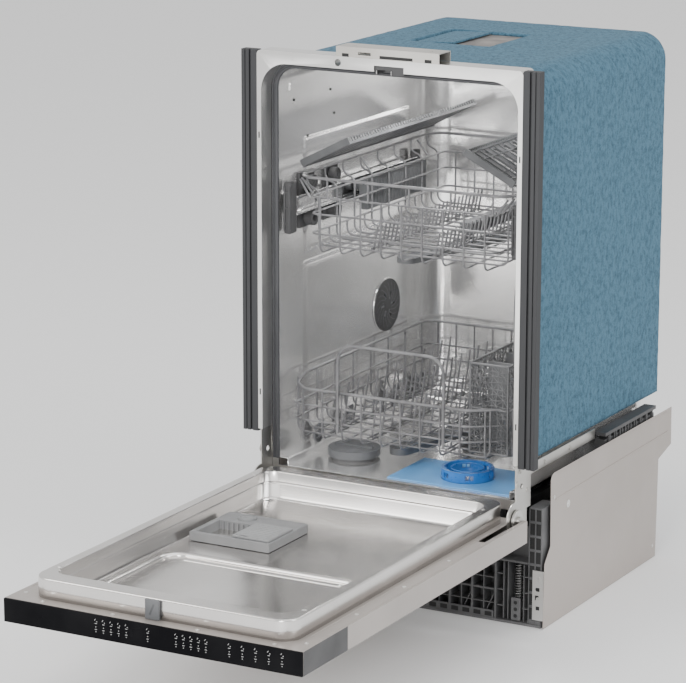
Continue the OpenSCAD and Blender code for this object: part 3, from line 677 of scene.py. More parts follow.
# The slots in the front bar are not cut: painted shade patches stand in for them.
blocks("tray_bar_slots", "cabinet", "black_plastic", painted_hole_shade,
       [(x, 65.3, 9.2) for x in range(-135, 136, 18)], (11, 0.3, 6.5), bevel=0)
blocks("tray_bay_ribs", "cabinet", "black_plastic", base_plastic_lit,
       [(s * x, 78, 48) for s in (-1, 1) for x in (158, 165, 190)], (1.6, 20, 86))
blocks("tray_bay_ledges", "cabinet", "black_plastic", base_plastic_lit,
       [(s * x, 79, z) for s in (-1, 1) for x in (153, 193.5) for z in (24, 48, 72)], (11, 22, 1.6))
blocks("tray_anchor", "cabinet", "black_plastic", base_plastic_lit,
       [(s * 178, 68.2, 22) for s in (-1, 1)], (15, 3.6, 34), bevel=1.0)
# The anchor holes are painted shade discs, not cut.
screws("tray_anchor_holes", "cabinet", "black_plastic", painted_hole_shade,
       [(s * 178, 66.3, z) for s in (-1, 1) for z in (12, 22, 32)], 2.8, 0.5, (90, 0, 0), 0.3)
# The cells between the post walls are painted shade patches, not cut.
blocks("tray_post_cells", "cabinet", "black_plastic", painted_hole_shade,
       [(s * x, 65.9, z) for s in (-1, 1) for x in (203.6, 213.4) for z in range(20, 171, 21)],
       (7.6, 0.3, 17), bevel=0)
blocks("tray_post_walls", "cabinet", "black_plastic", base_plastic_lit,
       [(s * x, 65.4, 90.5) for s in (-1, 1) for x in (199, 208.5, 218)], (1.6, 1.4, 172),
       bevel=0.4)
blocks("tray_post_ledges", "cabinet", "black_plastic", base_plastic_lit,
       [(s * 208.5, 65.4, z) for s in (-1, 1) for z in range(9, 178, 21)], (20, 1.4, 2.0),
       bevel=0.4)
blocks("tray_side_fins", "cabinet", "black_plastic", base_plastic_lit,
       [(s * 214, y, 60) for s in (-1, 1) for y in range(130, 440, 22)], (7, 2.0, 96))

# ---------------------------------------------------------------- base side panels
# Painted steel panels close the sides of the base, each with a pressed crease near the top.
# A small plated corner plate hooks each one to the tray at the front.

base_paint = plain_finish("base_paint", (0.42, 0.375, 0.345), 0.36, (6, (1, 1, 1), 5.0),
                          (0.39, 0.35, 0.322), (0.45, 0.405, 0.375),
                          (30, 0.28, 0.42), (700, (1, 0.04, 1), 2.0), 0.10, 0.0002, metal=0.35)
zinc_plate = steel("zinc_plate", (0.58, 0.57, 0.55), (0.74, 0.73, 0.71), 0.24, 0.42, (1, 1, 0.1),
                   200)
for side, sign in (("left", -1), ("right", 1)):
    panel = soften("base_panel_" + side, "base_panel_" + side, "cabinet", "beige_steel", base_paint,
                   0.3)
    for corner in panel.data.vertices:
        corner.co.x = sign * min(abs(corner.co.x), 0.2243)
    blocks("panel_crease_" + side, "cabinet", "beige_steel", base_paint,
           [(sign * 224.4, 299, 187.5)], (1.1, 404, 2.4), (0.7, 0, 0), bevel=0.5)
    blocks("panel_hem_" + side, "cabinet", "beige_steel", base_paint,
           [(sign * 223.0, 300, 222.5)], (2.6, 404, 3.0), bevel=0.9)
    screws("panel_screws_" + side, "cabinet", "zinc_plate", zinc_plate,
           [(sign * 224.6, 92, 190), (sign * 224.6, 452, 20)], 3.0, 0.8, (0, 90 * sign, 0), 0.5)
    screws("panel_plug_" + side, "cabinet", "white_plastic", satin_steel,
           [(sign * 224.2, 140, 168)], 5.8, 1.4, (0, 90 * sign, 0), 0.9)
soften("corner_plates", "corner_plates", "cabinet", "zinc_plate", zinc_plate, 0.3)
# The corner plates' holes are not cut: painted shade squares stand in for them.
blocks("corner_plate_holes", "cabinet", "zinc_plate", painted_hole_shade,
       [(s * 214.5, 62.9, z) for s in (-1, 1) for z in (30, 58)], (5.5, 0.5, 5.5), bevel=0.2)
screws("corner_plate_studs", "cabinet", "zinc_plate", zinc_plate,
       [(s * 214.5, 62.9, z) for s in (-1, 1) for z in (44, 74)], 2.8, 0.6, (90, 0, 0), 0.4)

# ---------------------------------------------------------------- door springs
# A steel coil spring on each side of the base balances the door's weight.
# Its lower end hooks to the tray and its upper end follows the door's cable; here the coil is drawn
# fixed on the cabinet and does not stretch.

wire_tree, given, out, wire_ids = new_tree("bent_wire")
wire_ids["Wire Diameter"] = socket(wire_tree, "Wire Diameter", "NodeSocketFloat", 0.004)
wire_ids["Bend Radius"] = socket(wire_tree, "Bend Radius", "NodeSocketFloat", 0.008)
wire_line = wire_tree.nodes.new("GeometryNodeMeshToCurve")
wire_bend = wire_tree.nodes.new("GeometryNodeFilletCurve")
wire_bend.mode = "POLY"
wire_bend.inputs["Count"].default_value = 5
wire_bend.inputs["Limit Radius"].default_value = True
wire_ring = wire_tree.nodes.new("GeometryNodeCurvePrimitiveCircle")
wire_ring.inputs["Resolution"].default_value = 10
wire_half = worked(wire_tree, "MULTIPLY", given.outputs["Wire Diameter"], 0.5)
wire_body = wire_tree.nodes.new("GeometryNodeCurveToMesh")
wire_body.inputs["Fill Caps"].default_value = True
wire_tree.links.new(given.outputs["Geometry"], wire_line.inputs["Mesh"])
wire_tree.links.new(wire_line.outputs["Curve"], wire_bend.inputs["Curve"])
wire_tree.links.new(given.outputs["Bend Radius"], wire_bend.inputs["Radius"])
wire_tree.links.new(wire_half, wire_ring.inputs["Radius"])
wire_tree.links.new(wire_bend.outputs["Curve"], wire_body.inputs["Curve"])
wire_tree.links.new(wire_ring.outputs["Curve"], wire_body.inputs["Profile Curve"])
close_tree(wire_tree, wire_body.outputs["Mesh"], given, out)


def wires(name, body, slot, material, lines, diameter, bend, *nodes):
    """Round wires along polylines of millimetre places, bent to a radius at each corner."""
    mesh = bpy.data.meshes.new(name)
    places, edges = [], []
    for line in lines:
        first = len(places)
        places += [at(*p) for p in line]
        edges += [(first + k, first + k + 1) for k in range(len(line) - 1)]
    mesh.from_pydata(places, edges, [])
    made = grow(name, mesh, wire_tree, {
        wire_ids["Material"]: material, wire_ids["Wire Diameter"]: diameter / 1000,
        wire_ids["Bend Radius"]: bend / 1000})
    return keep(name, made, material, body, slot, *nodes, smooth=60)


spring_steel = steel("spring_steel", (0.10, 0.10, 0.10), (0.30, 0.295, 0.29), 0.25, 0.5, (1, 1, 1),
                     400)
spring_lines = []
for sign in (-1, 1):
    coil = [(sign * 178 + 6.0 * math.cos(k * math.pi / 8), 79 + 6.0 * math.sin(k * math.pi / 8),
             33 + 54 * k / 224) for k in range(225)]
    spring_lines.append([(sign * 178, 79, 31.3)] + coil + [(sign * 178, 79, 88.6)])
springs = wires("door_springs", "cabinet", "spring_steel", spring_steel, spring_lines, 2.2, 0.5,
                "door_springs")
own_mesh(springs)

# ---------------------------------------------------------------- adjustable feet
# Three threaded plastic feet screw into the tray to level the machine.
# Each is a flat disc with a toothed edge on a coarse thread.

for foot_name in ("foot_front_left", "foot_front_right", "foot_rear"):
    soften(foot_name, foot_name, foot_name, "black_plastic", black_plastic, 0.7)
    low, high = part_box(foot_name)
    cx, cy, radius = middle(low, high)
    blocks(foot_name + "_teeth", foot_name, "black_plastic", black_plastic,
           [(*on_circle(cx, cy, radius - 1.4, 15 * k), low.z * 1000 + 2.6) for k in range(24)],
           (1.8, 1.8, 2.6), bevel=0.3)

# ---------------------------------------------------------------- machinery in the base
# The sump, pumps, heater, softener and inlet valve are clipped or screwed into the tray.
# They are moulded plastic, with the flow heater in stainless steel.

white_plastic = plain_finish("white_plastic", (0.70, 0.70, 0.68), 0.42, (8, (1, 1, 1), 5.0),
                             (0.62, 0.62, 0.59), (0.76, 0.76, 0.74),
                             (30, 0.34, 0.52), (900,), 0.12, 0.0002)
heater_steel = steel("heater_steel", (0.50, 0.49, 0.47), (0.68, 0.67, 0.65), 0.22, 0.38,
                     (1, 1, 0.1), 400)
for node, finish, slot_name, width in (
    ("sump", black_plastic, "black_plastic", 1.0),
    ("circulation_pump", black_plastic, "black_plastic", 1.4),
    ("drain_pump", black_plastic, "black_plastic", 1.0),
    ("softener_tank", white_plastic, "white_plastic", 1.6),
    ("heater", heater_steel, "satin_steel", 0.6),
    ("inlet_valve", white_plastic, "white_plastic", 0.8),
    ("air_break_tank", black_plastic, "black_plastic", 1.0),
):
    machine = soften(node, node, "cabinet", slot_name, finish, width)
    if node == "softener_tank":
        # Its top faces take the tray's lightened black plastic.
        machine.data.materials.append(base_plastic_lit)
        for face in machine.data.polygons:
            face.material_index = int(face.center.z > 0.1885)
blocks("circulation_pump_ribs", "cabinet", "black_plastic", black_plastic,
       [(x, 273, 132.4) for x in range(53, 100, 11)], (2, 108, 3), bevel=0.5)
blocks("softener_tank_ribs", "cabinet", "white_plastic", white_plastic,
       [(x, 144, 184.4) for x in range(-182, -66, 22)], (2, 88, 3), bevel=0.5)
tank_low, tank_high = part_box("air_break_tank")
blocks("tank_ribs", "cabinet", "black_plastic", black_plastic,
       [(tank_high.x * 1000 - 1.0, y, 205) for y in range(286, 450, 20)], (1.8, 2.4, 64), bevel=0.5)
blocks("tank_top_ribs", "cabinet", "black_plastic", black_plastic,
       [((tank_low.x + tank_high.x) * 500, y, tank_high.z * 1000 - 0.8)
        for y in range(280, 452, 12)],
       (17, 1.8, 1.4), bevel=0.3)

# ---------------------------------------------------------------- tub floor fittings
# A blue moulded filter plate and cup sit over the sump, and a grey cap closes the salt tank.
# The spray arm between them is a hollow moulding that turns on the riser.

blue_filter, tree, shader, coords = finish_of("blue_filter", (0.10, 0.31, 0.64), 0.34)
cells = tree.nodes.new("ShaderNodeTexVoronoi")
cells.inputs["Scale"].default_value = 420
cells.inputs["Randomness"].default_value = 0.0
tree.links.new(coords, cells.inputs["Vector"])
tint_by(tree, shader, cells.outputs["Distance"], (0.05, 0.20, 0.52), (0.13, 0.37, 0.72), 0.15, 0.32)
relief(tree, shader, cells.outputs["Distance"], 0.5, 0.0006)
blue_cup = plain_finish("blue_cup", (0.045, 0.22, 0.56), 0.28, (25,), (0.018, 0.13, 0.42),
                        (0.035, 0.19, 0.54),
                        (90, 0.22, 0.36), (900,), 0.15, 0.0002)
soften("filter_plate", "filter_plate", "cabinet", "blue_filter", blue_filter, 0.25)
wires("filter_plate_rim", "cabinet", "blue_filter", blue_filter,
      [[(76, 50, 196.2), (170, 50, 196.2), (170, 163, 196.2), (-19, 163, 196.2), (-19, 50, 196.2),
        (76, 50, 196.2)]], 1.0, 4)
soften("filter_cup", "filter_cup", "filter_cup", "blue_filter", blue_cup, 0.5)
cup_x, cup_y, cup_r = middle(*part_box("filter_cup"))
cup_lines = [[(*on_circle(cup_x, cup_y, cup_r - 0.9, 10 * k), z) for z in (197.8, 211.2)]
             for k in range(36)]
wires("filter_cup_fins", "filter_cup", "blue_filter", blue_cup, cup_lines, 1.6, 1)
wires("filter_cup_grip", "filter_cup", "blue_filter", blue_cup,
      [[(*on_circle(cup_x, cup_y, r, 12 * k), z) for k in range(31)] for r,
       z in ((cup_r - 2.0, 210.8), (24.0, 210.6), (cup_r - 2.0, 198.4))], 2.0, 1)

grey_plastic = plain_finish("grey_plastic", (0.13, 0.134, 0.141), 0.40, (20, (1, 1, 1), 5.0),
                            (0.105, 0.109, 0.115), (0.155, 0.159, 0.166),
                            (60, 0.32, 0.50), (1200,), 0.15, 0.0002)
soften("salt_cap", "salt_cap", "salt_cap", "grey_plastic", grey_plastic, 0.8)
salt_x, salt_y, _ = middle(*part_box("salt_cap"))
wires("salt_cap_ribs", "salt_cap", "grey_plastic", grey_plastic,
      [[(*on_circle(salt_x, salt_y, 38.0, 6 * k), z) for z in (201.2, 209.6)] for k in range(60)],
      1.7, 1)
wires("salt_cap_arrows", "salt_cap", "grey_plastic", grey_plastic,
      [[(*on_circle(salt_x, salt_y, r, a), 211.5) for a in range(a0, a0 + 61, 6)] for r in (29, 22)
       for a0 in (20, 140, 260)], 0.9, 1)

dark_grey = plain_finish("dark_grey_plastic", (0.085, 0.088, 0.092), 0.42, (20, (1, 1, 1), 5.0),
                         (0.060, 0.062, 0.066), (0.115, 0.118, 0.122),
                         (60, 0.34, 0.52), (1200,), 0.15, 0.0002)
soften("lower_spray_arm", "lower_spray_arm", "lower_spray_arm", "dark_grey_plastic", dark_grey, 1.6,
       3)


def nozzles(name, body, material, centre, turn, radii, top, lift=0.6):
    """Small jets along both halves of a spray arm."""
    spots = []
    for sign in (-1, 1):
        for n, r in enumerate(radii):
            a = math.radians(turn) + (0 if sign > 0 else math.pi)
            off = 5 if n % 2 else -5
            spots.append((centre[0] + r * math.cos(a) - off * math.sin(a),
                          centre[1] + r * math.sin(a) + off * math.cos(a), top))
    return screws(name, body, "dark_grey_plastic", material, spots, 3.0, lift * 2, (0, 0, 0), 0.9)


arm_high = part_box("lower_spray_arm")[1]
nozzles("lower_arm_nozzles", "lower_spray_arm", dark_grey, (0, 262), 80, (44, 74, 102, 128, 150),
        arm_high.z * 1000 - 2.4)

# ---------------------------------------------------------------- wall vent and roller brackets
# The vent in the left wall is a black moulded disc with curved fins round its hub.
# Two black brackets are screwed to the walls, and rollers on their pins carry the rails.

vent_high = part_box("wall_vent")[1]
vent_x, vent_y, vent_z = vent_high.x * 1000, 363.0, 371.0
soften("wall_vent", "wall_vent", "cabinet", "black_plastic", black_plastic, 0.8)
wires("wall_vent_ring", "cabinet", "polished_steel", polished_steel,
      [[(vent_x - 3.0, *on_circle(vent_y, vent_z, 41.0, 9 * k)) for k in range(41)]], 3.0, 0.5)
# The wall screws are drawn in the painted hole shade, as dark sockets.
screws("wall_screws", "cabinet", "polished_steel", painted_hole_shade,
       [(s * 194.0, y, z) for s in (-1, 1) for y,
        z in ((80, 730), (189, 730.6), (200, 694), (120, 672))],
       2.0, 1.4, (0, 90, 0), 0.4)
blocks("wall_clips", "cabinet", "polished_steel", polished_steel,
       [(s * 193.8, 72, 751) for s in (-1, 1)], (1.4, 9, 12), bevel=0.4)
vent_lines = []
for k in range(18):
    start = math.radians(20 * k)
    vent_lines.append([(vent_x - 0.8, vent_y + r * math.cos(start + r / 40), vent_z
                        + r * math.sin(start + r / 40))
                       for r in (13, 18, 24, 30, 36)])
for r in (11.5, 38.5, 28.0):
    vent_lines.append([(vent_x - 0.9, *on_circle(vent_y, vent_z, r, 10 * k)) for k in range(37)])
wires("wall_vent_fins", "cabinet", "black_plastic", grey_plastic, vent_lines, 1.8, 1)
soften("roller_brackets", "roller_brackets", "cabinet", "black_plastic", black_plastic, 0.8)
blocks("bracket_ridges", "cabinet", "black_plastic", black_plastic,
       [(s * 190.2, y, 582) for s in (-1, 1) for y in (97, 122, 168, 193)], (1.4, 2.2, 60),
       bevel=0.5)


def lathe(name, body, slot, material, axis_x, y, z, section, both, *nodes, steps=40):
    """A round part turned about a line across the machine, section given as (x, radius)."""
    shape = bmesh.new()
    for sign in ((-1, 1) if both else (1,)):
        rings = []
        for x, r in section:
            rings.append([shape.verts.new(at(sign * (axis_x + x), y
                                             + r * math.cos(2 * math.pi * k / steps),
                                             z + r * math.sin(2 * math.pi * k / steps)))
                          for k in range(steps)])
        for n, near in enumerate(rings):
            far = rings[(n + 1) % len(rings)]
            for k in range(steps):
                shape.faces.new((near[k], near[(k + 1) % steps], far[(k + 1) % steps], far[k]))
    bmesh.ops.recalc_face_normals(shape, faces=shape.faces)
    return keep(name, mesh_of(name, shape), material, body, slot, *nodes, smooth=40)


roller_z, roller_inner = 606, 176.6
for body, y in (("wall_rollers_front", 110), ("wall_rollers_rear", 180)):
    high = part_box(body)[1]
    wide = high.x * 1000 - roller_inner
    lathe(body, body, "black_plastic", black_plastic, roller_inner, y, roller_z,
          [(0.4, 3.15), (0, 4), (0, 6.2), (1.2, 6.8), (1.2, 9.2), (0.2, 9.9), (0.9, 10.9),
           (wide - 0.9, 10.9),
           (wide - 0.2, 9.9), (wide - 1.2, 9.2), (wide - 1.2, 6.8), (wide, 6.2), (wide, 4),
           (wide - 0.4, 3.15)],
          True, body)
    blocks(body + "_spokes", body, "black_plastic", black_plastic,
           [(s * 178.2, *on_circle(y, roller_z, 8, a)) for s in (-1, 1) for a in range(0, 360, 60)],
           (1.4, 1.6, 1.6), bevel=0.3)

# ---------------------------------------------------------------- rails
# Chromed steel channels run on the wall rollers and carry the upper rack.
# A ribbed black stop is clipped into each end.

chrome = steel("chrome_rail", (0.80, 0.80, 0.80), (0.92, 0.92, 0.915), 0.05, 0.14, (1, 0.03, 1),
               500)
rail_shape = bmesh.new()
rail_section = [(175, 566), (188, 566), (188, 594), (175, 594), (175, 591.6), (185.6, 591.6),
                (185.6, 568.4), (175, 568.4)]
for sign in (-1, 1):
    near = [rail_shape.verts.new(at(sign * x, 56, z)) for x, z in rail_section]
    far = [rail_shape.verts.new(at(sign * x, 432, z)) for x, z in rail_section]
    for k in range(8):
        rail_shape.faces.new((near[k], near[(k + 1) % 8], far[(k + 1) % 8], far[k]))
    rail_shape.faces.new(near)
    rail_shape.faces.new(far)
bmesh.ops.recalc_face_normals(rail_shape, faces=rail_shape.faces)
rails = keep("rack_rails", mesh_of("rack_rails", rail_shape), chrome, "rails", "chrome_rail",
             "rack_rail_left", "rack_rail_right", smooth=35)
rail_edge = rails.modifiers.new("edges", "BEVEL")
rail_edge.width, rail_edge.segments = 0.001, 3
stop_size = ((182.4, 48.0, 579, 12.6, 19.6, 77), (182.4, 438.0, 580, 12.6, 15.6, 47))
for k, (x, y, z, wide, deep, tall) in enumerate(stop_size):
    blocks("rail_stops_%d" % k, "rails", "black_plastic", black_plastic,
           [(s * x, y, z) for s in (-1, 1)], (wide, deep, tall), bevel=3.0)
blocks("rail_stop_ridges", "rails", "black_plastic", black_plastic,
       [(s * x, 38.2, 579) for s in (-1, 1) for x in (178.4, 186.2)], (3.2, 4.2, 66), bevel=1.2)
blocks("rail_stop_steps", "rails", "black_plastic", black_plastic,
       [(s * 182.2, 38.4, z) for s in (-1, 1) for z in (556, 579, 602)], (7, 3.0, 3.2), bevel=0.6)

# ---------------------------------------------------------------- height adjusters
# A grey moulded block on each side of the rack holds two wheels that run in the rail.
# Its toothed plate lets the loaded rack be lifted to a higher notch.

soften("height_adjusters", "height_adjusters", "rack_carriage", "dark_grey_plastic", dark_grey, 1.4,
       3)
blocks("adjuster_teeth", "rack_carriage", "dark_grey_plastic", dark_grey,
       [(s * 156.9, y, 568) for s in (-1, 1) for y in range(250, 420, 9)], (1.2, 3, 38), bevel=0.4)
blocks("adjuster_lever", "rack_carriage", "dark_grey_plastic", grey_plastic,
       [(s * 163, 262, 589) for s in (-1, 1)], (10, 34, 5.6), bevel=1.6)

# ---------------------------------------------------------------- upper rack
# The rack is welded from steel wire and dipped in grey nylon, with a heavier wire for its rim.
# Its sides step outward under the rim so that the blocks clear the rails.

rack_wire = plain_finish("rack_wire", (0.17, 0.17, 0.175), 0.30, (40, (1, 1, 1), 4.0),
                         (0.105, 0.105, 0.109), (0.175, 0.175, 0.18),
                         (90, 0.22, 0.38), (500,), 0.18, 0.0003, coat=0.2)


cut_slope = 0.72


def ring(half, front, back, z, cut=0):
    """A closed wire round a rack, with the right front corner cut off where asked."""
    corner = [(half - cut, front, z), (half, front + cut * cut_slope, z)] if cut else [(half, front,
                                                                                        z)]
    return [(0, back, z), (-half, back, z), (-half, front, z)] + corner + [(half, back, z),
                                                                           (0, back, z)]


upper_lines = []
for y in even(79, 457, 54):
    side = [(172, y, 625), (172, y, 608), (152.4, y, 601), (152.4, y, 521)]
    upper_lines.append(side + [(-x, yy, z) for x, yy, z in reversed(side)])
for x in even(-132, 132, 33):
    upper_lines.append([(x, 45.6, 599), (x, 45.6, 517.4), (x, 477.4, 517.4), (x, 477.4, 600)])
for y in even(106, 430, 54):
    upper_lines.append([(-150, y, 544), (-150, y, 521.4), (150, y, 521.4), (150, y, 544)])
upper_lines += [[(x, 45.8, 598), (x, 45.8, 625)] for x in (-120, -54, 12, 78, 144)]
for z in (544, 573, 598):
    upper_lines.append(ring(149.0, 47.5, 475.5, z))
for y in even(86, 424, 13):
    for x, lean in ((-66, 7), (34, 7)):
        upper_lines.append([(x, y, 520), (x + lean, y, 556)])
upper_lines += [[(-66, 80, 523.5), (-66, 430, 523.5)], [(34, 80, 523.5), (34, 430, 523.5)]]
wires("upper_rack", "upper_rack", "rack_wire", rack_wire, upper_lines, 3.0, 12,
      "upper_rack_floor", "upper_rack_ends", "upper_rack_sides")
wires("upper_rack_rim", "upper_rack", "rack_wire", rack_wire, [ring(172, 45.4, 478, 626)], 4.4, 30)
wires("upper_rack_stays", "upper_rack", "rack_wire", rack_wire,
      [[(s * 152, y, 600), (s * 170, y, 622)] for s in (-1, 1) for y in (60, 240, 420)]
      + [[(s * 150, 46, 598), (s * 166, 48, 622)] for s in (-1, 1)], 3.4, 4)

# ---------------------------------------------------------------- upper spray arm and its feed
# A grey pipe under the rack leads water from the back wall to the arm.
# The arm snaps on to the pipe's spigot and spins on the water it throws.

soften("upper_spray_feed", "upper_spray_feed", "upper_rack", "dark_grey_plastic", dark_grey, 1.6, 3)
blocks("feed_clips", "upper_rack", "dark_grey_plastic", dark_grey,
       [(0, y, 530) for y in (300, 372, 440)], (21.4, 6, 15.4), bevel=1.2)
soften("upper_spray_arm", "upper_spray_arm", "upper_spray_arm", "dark_grey_plastic", dark_grey, 1.4,
       3)
upper_arm_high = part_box("upper_spray_arm")[1]
nozzles("upper_arm_nozzles", "upper_spray_arm", dark_grey, (0, 262), 78, (40, 70, 98, 122, 142),
        upper_arm_high.z * 1000 - 1.6, 0.5)

# ---------------------------------------------------------------- cup shelves
# Two moulded shelves hinge on the rack's side wires and fold up out of the way.
# A comb of small teeth along the inner edge steadies the stems of glasses.

shelf_tilt, shelf_x, shelf_z = 27.0, 165.0, 641.0


def on_shelf(sign, across, y, up):
    """A place given along and above a tilted shelf, as a place in the machine."""
    turn = math.radians(shelf_tilt)
    return (sign * (shelf_x + across * math.cos(turn) + up * math.sin(turn)), y,
            shelf_z - across * math.sin(turn) + up * math.cos(turn))


shelf_grey = plain_finish("shelf_grey", (0.13, 0.133, 0.138), 0.40, (20, (1, 1, 1), 5.0),
                          (0.052, 0.054, 0.057), (0.090, 0.092, 0.096),
                          (60, 0.32, 0.50), (1200,), 0.15, 0.0002)
for side, sign in (("left", -1), ("right", 1)):
    body = "cup_shelf_" + side
    soften(body, body, body, "dark_grey_plastic", shelf_grey, 0.8)
    tilt = (0, sign * shelf_tilt, 0)
    blocks(body + "_teeth", body, "dark_grey_plastic", shelf_grey,
           [on_shelf(sign, -82.6, y, 4.6) for y in even(64, 456, 8)], (1.6, 3.2, 6.0), tilt, 0.4)
    blocks(body + "_slats", body, "dark_grey_plastic", shelf_grey,
           [on_shelf(sign, -43, y, 2.4) for y in even(66, 454, 15)], (68, 1.8, 2.0), tilt, 0.4)
    blocks(body + "_ribs", body, "dark_grey_plastic", shelf_grey,
           [on_shelf(sign, a, 260, 2.2) for a in (-78, -60, -26, -9)], (1.6, 396, 2.0), tilt, 0.4)
    blocks(body + "_lips", body, "dark_grey_plastic", shelf_grey,
           [on_shelf(sign, -41, y, 3.6) for y in (59.6, 460.4)], (82, 2.8, 9.0), tilt, 0.8)

# ---------------------------------------------------------------- lower rack
# The lower rack is welded and nylon-dipped like the upper one, with a loop handle in front.
# Rows of leaning tines hold plates, and plastic wheels snap on to stubs along its sides.

cut = 75


def right_end(y):
    """How far right a cross wire reaches at a given depth, short of the cut corner."""
    return min(180.0, 180 - cut + (y - 45) / cut_slope)


lower_lines = []
for y in even(66, 460, 53):
    right = right_end(y)
    lower_lines.append([(-180, y, 324), (-180, y, 241.5), (right, y, 241.5),
                        (right, y, 311 if right < 180 else 324)])
for y in even(92, 434, 53):
    lower_lines.append([(-178, y, 264), (-178, y, 241.8), (right_end(y) - 2, y, 241.8),
                        (right_end(y) - 2, y, 264)])
for x in even(-160, 160, 32):
    near = 45.4 if x < 180 - cut else 45.4 + (x - 180 + cut) * cut_slope
    lower_lines.append([(x, near, 311), (x, near, 239.2), (x, 477, 239.2), (x, 477, 324)])
for z in (265, 288):
    lower_lines.append(ring(178, 46.4, 476, z, cut))
for x in (-128, -64, 0, 64):
    lower_lines.append([(x, 66, 244.6), (x, 458, 244.6)])
    for y in even(80, 440, 30):
        lower_lines.append([(x, y, 242), (x + 8, y + 3, 312)])
wires("lower_rack", "lower_rack", "rack_wire", rack_wire, lower_lines, 3.0, 12,
      "lower_rack_floor", "lower_rack_sides")
wires("lower_rack_rim", "lower_rack", "rack_wire", rack_wire,
      [[(0, 477.6, 325), (-180, 477.6, 325), (-180, 92, 325), (-180, 62, 316), (-158, 46, 312),
        (180 - cut, 46, 312), (180, 100, 312), (180, 130, 325), (180, 477.6, 325),
        (0, 477.6, 325)]], 4.4, 20)
wires("lower_rack_handle", "lower_rack", "rack_wire", rack_wire,
      [[(-100, 40.6, 253), (-100, 40.6, 386), (72, 40.6, 386), (72, 40.6, 253)]], 4.8, 26,
      "lower_rack_ends")
wheel_ys, wheel_z = (134, 226, 375, 462), 220.8
blocks("lower_wheel_carriers", "lower_rack", "grey_plastic", grey_plastic,
       [(s * 179.4, y, 230) for s in (-1, 1) for y in wheel_ys], (2.8, 15, 27), bevel=0.8)
wires("lower_wheel_stubs", "lower_rack", "grey_plastic", grey_plastic,
      [[(s * 179, y, wheel_z), (s * 187.3, y, wheel_z)] for s in (-1, 1) for y in wheel_ys], 5.8, 0)

# ---------------------------------------------------------------- lower rack wheels
# Each wheel is a grey moulding with a rounded tyre, a dished web and eight spokes.
# It runs on the tub's ledge and then on the rim of the door pan.

for k, y in enumerate(wheel_ys):
    body = "lower_wheels_%d" % (k + 1)
    lathe(body, body, "grey_plastic", grey_plastic, 181.6, y, wheel_z,
          [(0.1, 3.2), (0.1, 5.4), (1.5, 5.8), (1.5, 10.6), (0.2, 11.2), (0.1, 12.8), (0.9, 13.9),
           (4.3, 13.9),
           (5.1, 12.8), (5.0, 11.2), (3.7, 10.6), (3.7, 5.8), (5.1, 5.4), (5.1, 3.2)], True, body,
           steps=44)
    blocks(body + "_spokes", body, "grey_plastic", grey_plastic,
           [(s * 184.2, *on_circle(y, wheel_z, 8.2, a)) for s in (-1, 1)
            for a in range(0, 360, 45)], (4.6, 1.6, 1.6), bevel=0.3)

# ---------------------------------------------------------------- cutlery basket
# The basket is one grey moulding with an open lattice in its walls and plain dividers inside.
# A stout loop handle rises from the middle.

basket_grey = plain_finish("basket_grey", (0.14, 0.142, 0.146), 0.45, (20, (1, 1, 1), 5.0),
                           (0.105, 0.107, 0.110), (0.165, 0.167, 0.171),
                           (60, 0.36, 0.55), (1200,), 0.18, 0.0002)
rng = random.Random(7)
lattice = bmesh.new()


def lattice_panel(start, along, up, across_count, up_count):
    """A flat panel of slightly uneven three-cornered meshes, all facing one way."""
    grid = []
    for j in range(up_count + 1):
        row = []
        for i in range(across_count + 1):
            inner = 0 < i < across_count and 0 < j < up_count
            du, dv = (rng.uniform(-0.28, 0.28), rng.uniform(-0.28, 0.28)) if inner else (0, 0)
            row.append(lattice.verts.new(start + along * ((i + du) / across_count)
                                         + up * ((j + dv) / up_count)))
        grid.append(row)
    for j in range(up_count):
        for i in range(across_count):
            a, b, c, d = grid[j][i], grid[j][i + 1], grid[j + 1][i + 1], grid[j + 1][i]
            if (i + j) % 2:
                lattice.faces.new((a, b, c))
                lattice.faces.new((a, c, d))
            else:
                lattice.faces.new((a, b, d))
                lattice.faces.new((b, c, d))


bx0, bx1, by0, by1, bz0, bz1 = 97.2, 158.8, 73.2, 306.8, 245.2, 376.8
tall = at(0, 0, bz1) - at(0, 0, bz0)
lattice_panel(at(bx0, by1, bz0), at(0, by0, 0) - at(0, by1, 0), tall, 26, 15)
lattice_panel(at(bx1, by0, bz0), at(0, by1, 0) - at(0, by0, 0), tall, 26, 15)
lattice_panel(at(bx0, by0, bz0), at(bx1, 0, 0) - at(bx0, 0, 0), tall, 7, 15)
lattice_panel(at(bx1, by1, bz0), at(bx0, 0, 0) - at(bx1, 0, 0), tall, 7, 15)
lattice_panel(at(bx0, by1, bz0), at(bx1, 0, 0) - at(bx0, 0, 0), at(0, by0, 0) - at(0, by1, 0), 7,
              26)
basket = keep("cutlery_basket", mesh_of("cutlery_basket", lattice), basket_grey, "cutlery_basket",
              "basket_grey", "cutlery_basket", smooth=30)
basket_net = basket.modifiers.new("lattice", "WIREFRAME")
basket_net.thickness, basket_net.use_even_offset, basket_net.use_boundary = 0.0021, False, True
wires("basket_rims", "cutlery_basket", "basket_grey", basket_grey,
      [[(128, 73.6, z), (97.6, 73.6, z), (97.6, 306.4, z), (158.4, 306.4, z), (158.4, 73.6, z),
        (128, 73.6, z)]
       for z in (376, 245.8, 311)]
      + [[(x, y, 246), (x, y, 376)] for x, y in ((98, 74), (98, 306), (158, 74), (158, 306))], 3.0,
      5)
blocks("basket_dividers", "cutlery_basket", "basket_grey", basket_grey,
       [(128, y, 306) for y in (132, 190, 248)], (59, 1.8, 120), bevel=0.5)
wires("basket_handle", "cutlery_basket", "basket_grey", basket_grey,
      [[(128, 159.5, 310), (128, 159.5, 480), (128, 220.5, 480), (128, 220.5, 310)]], 7.4, 26)

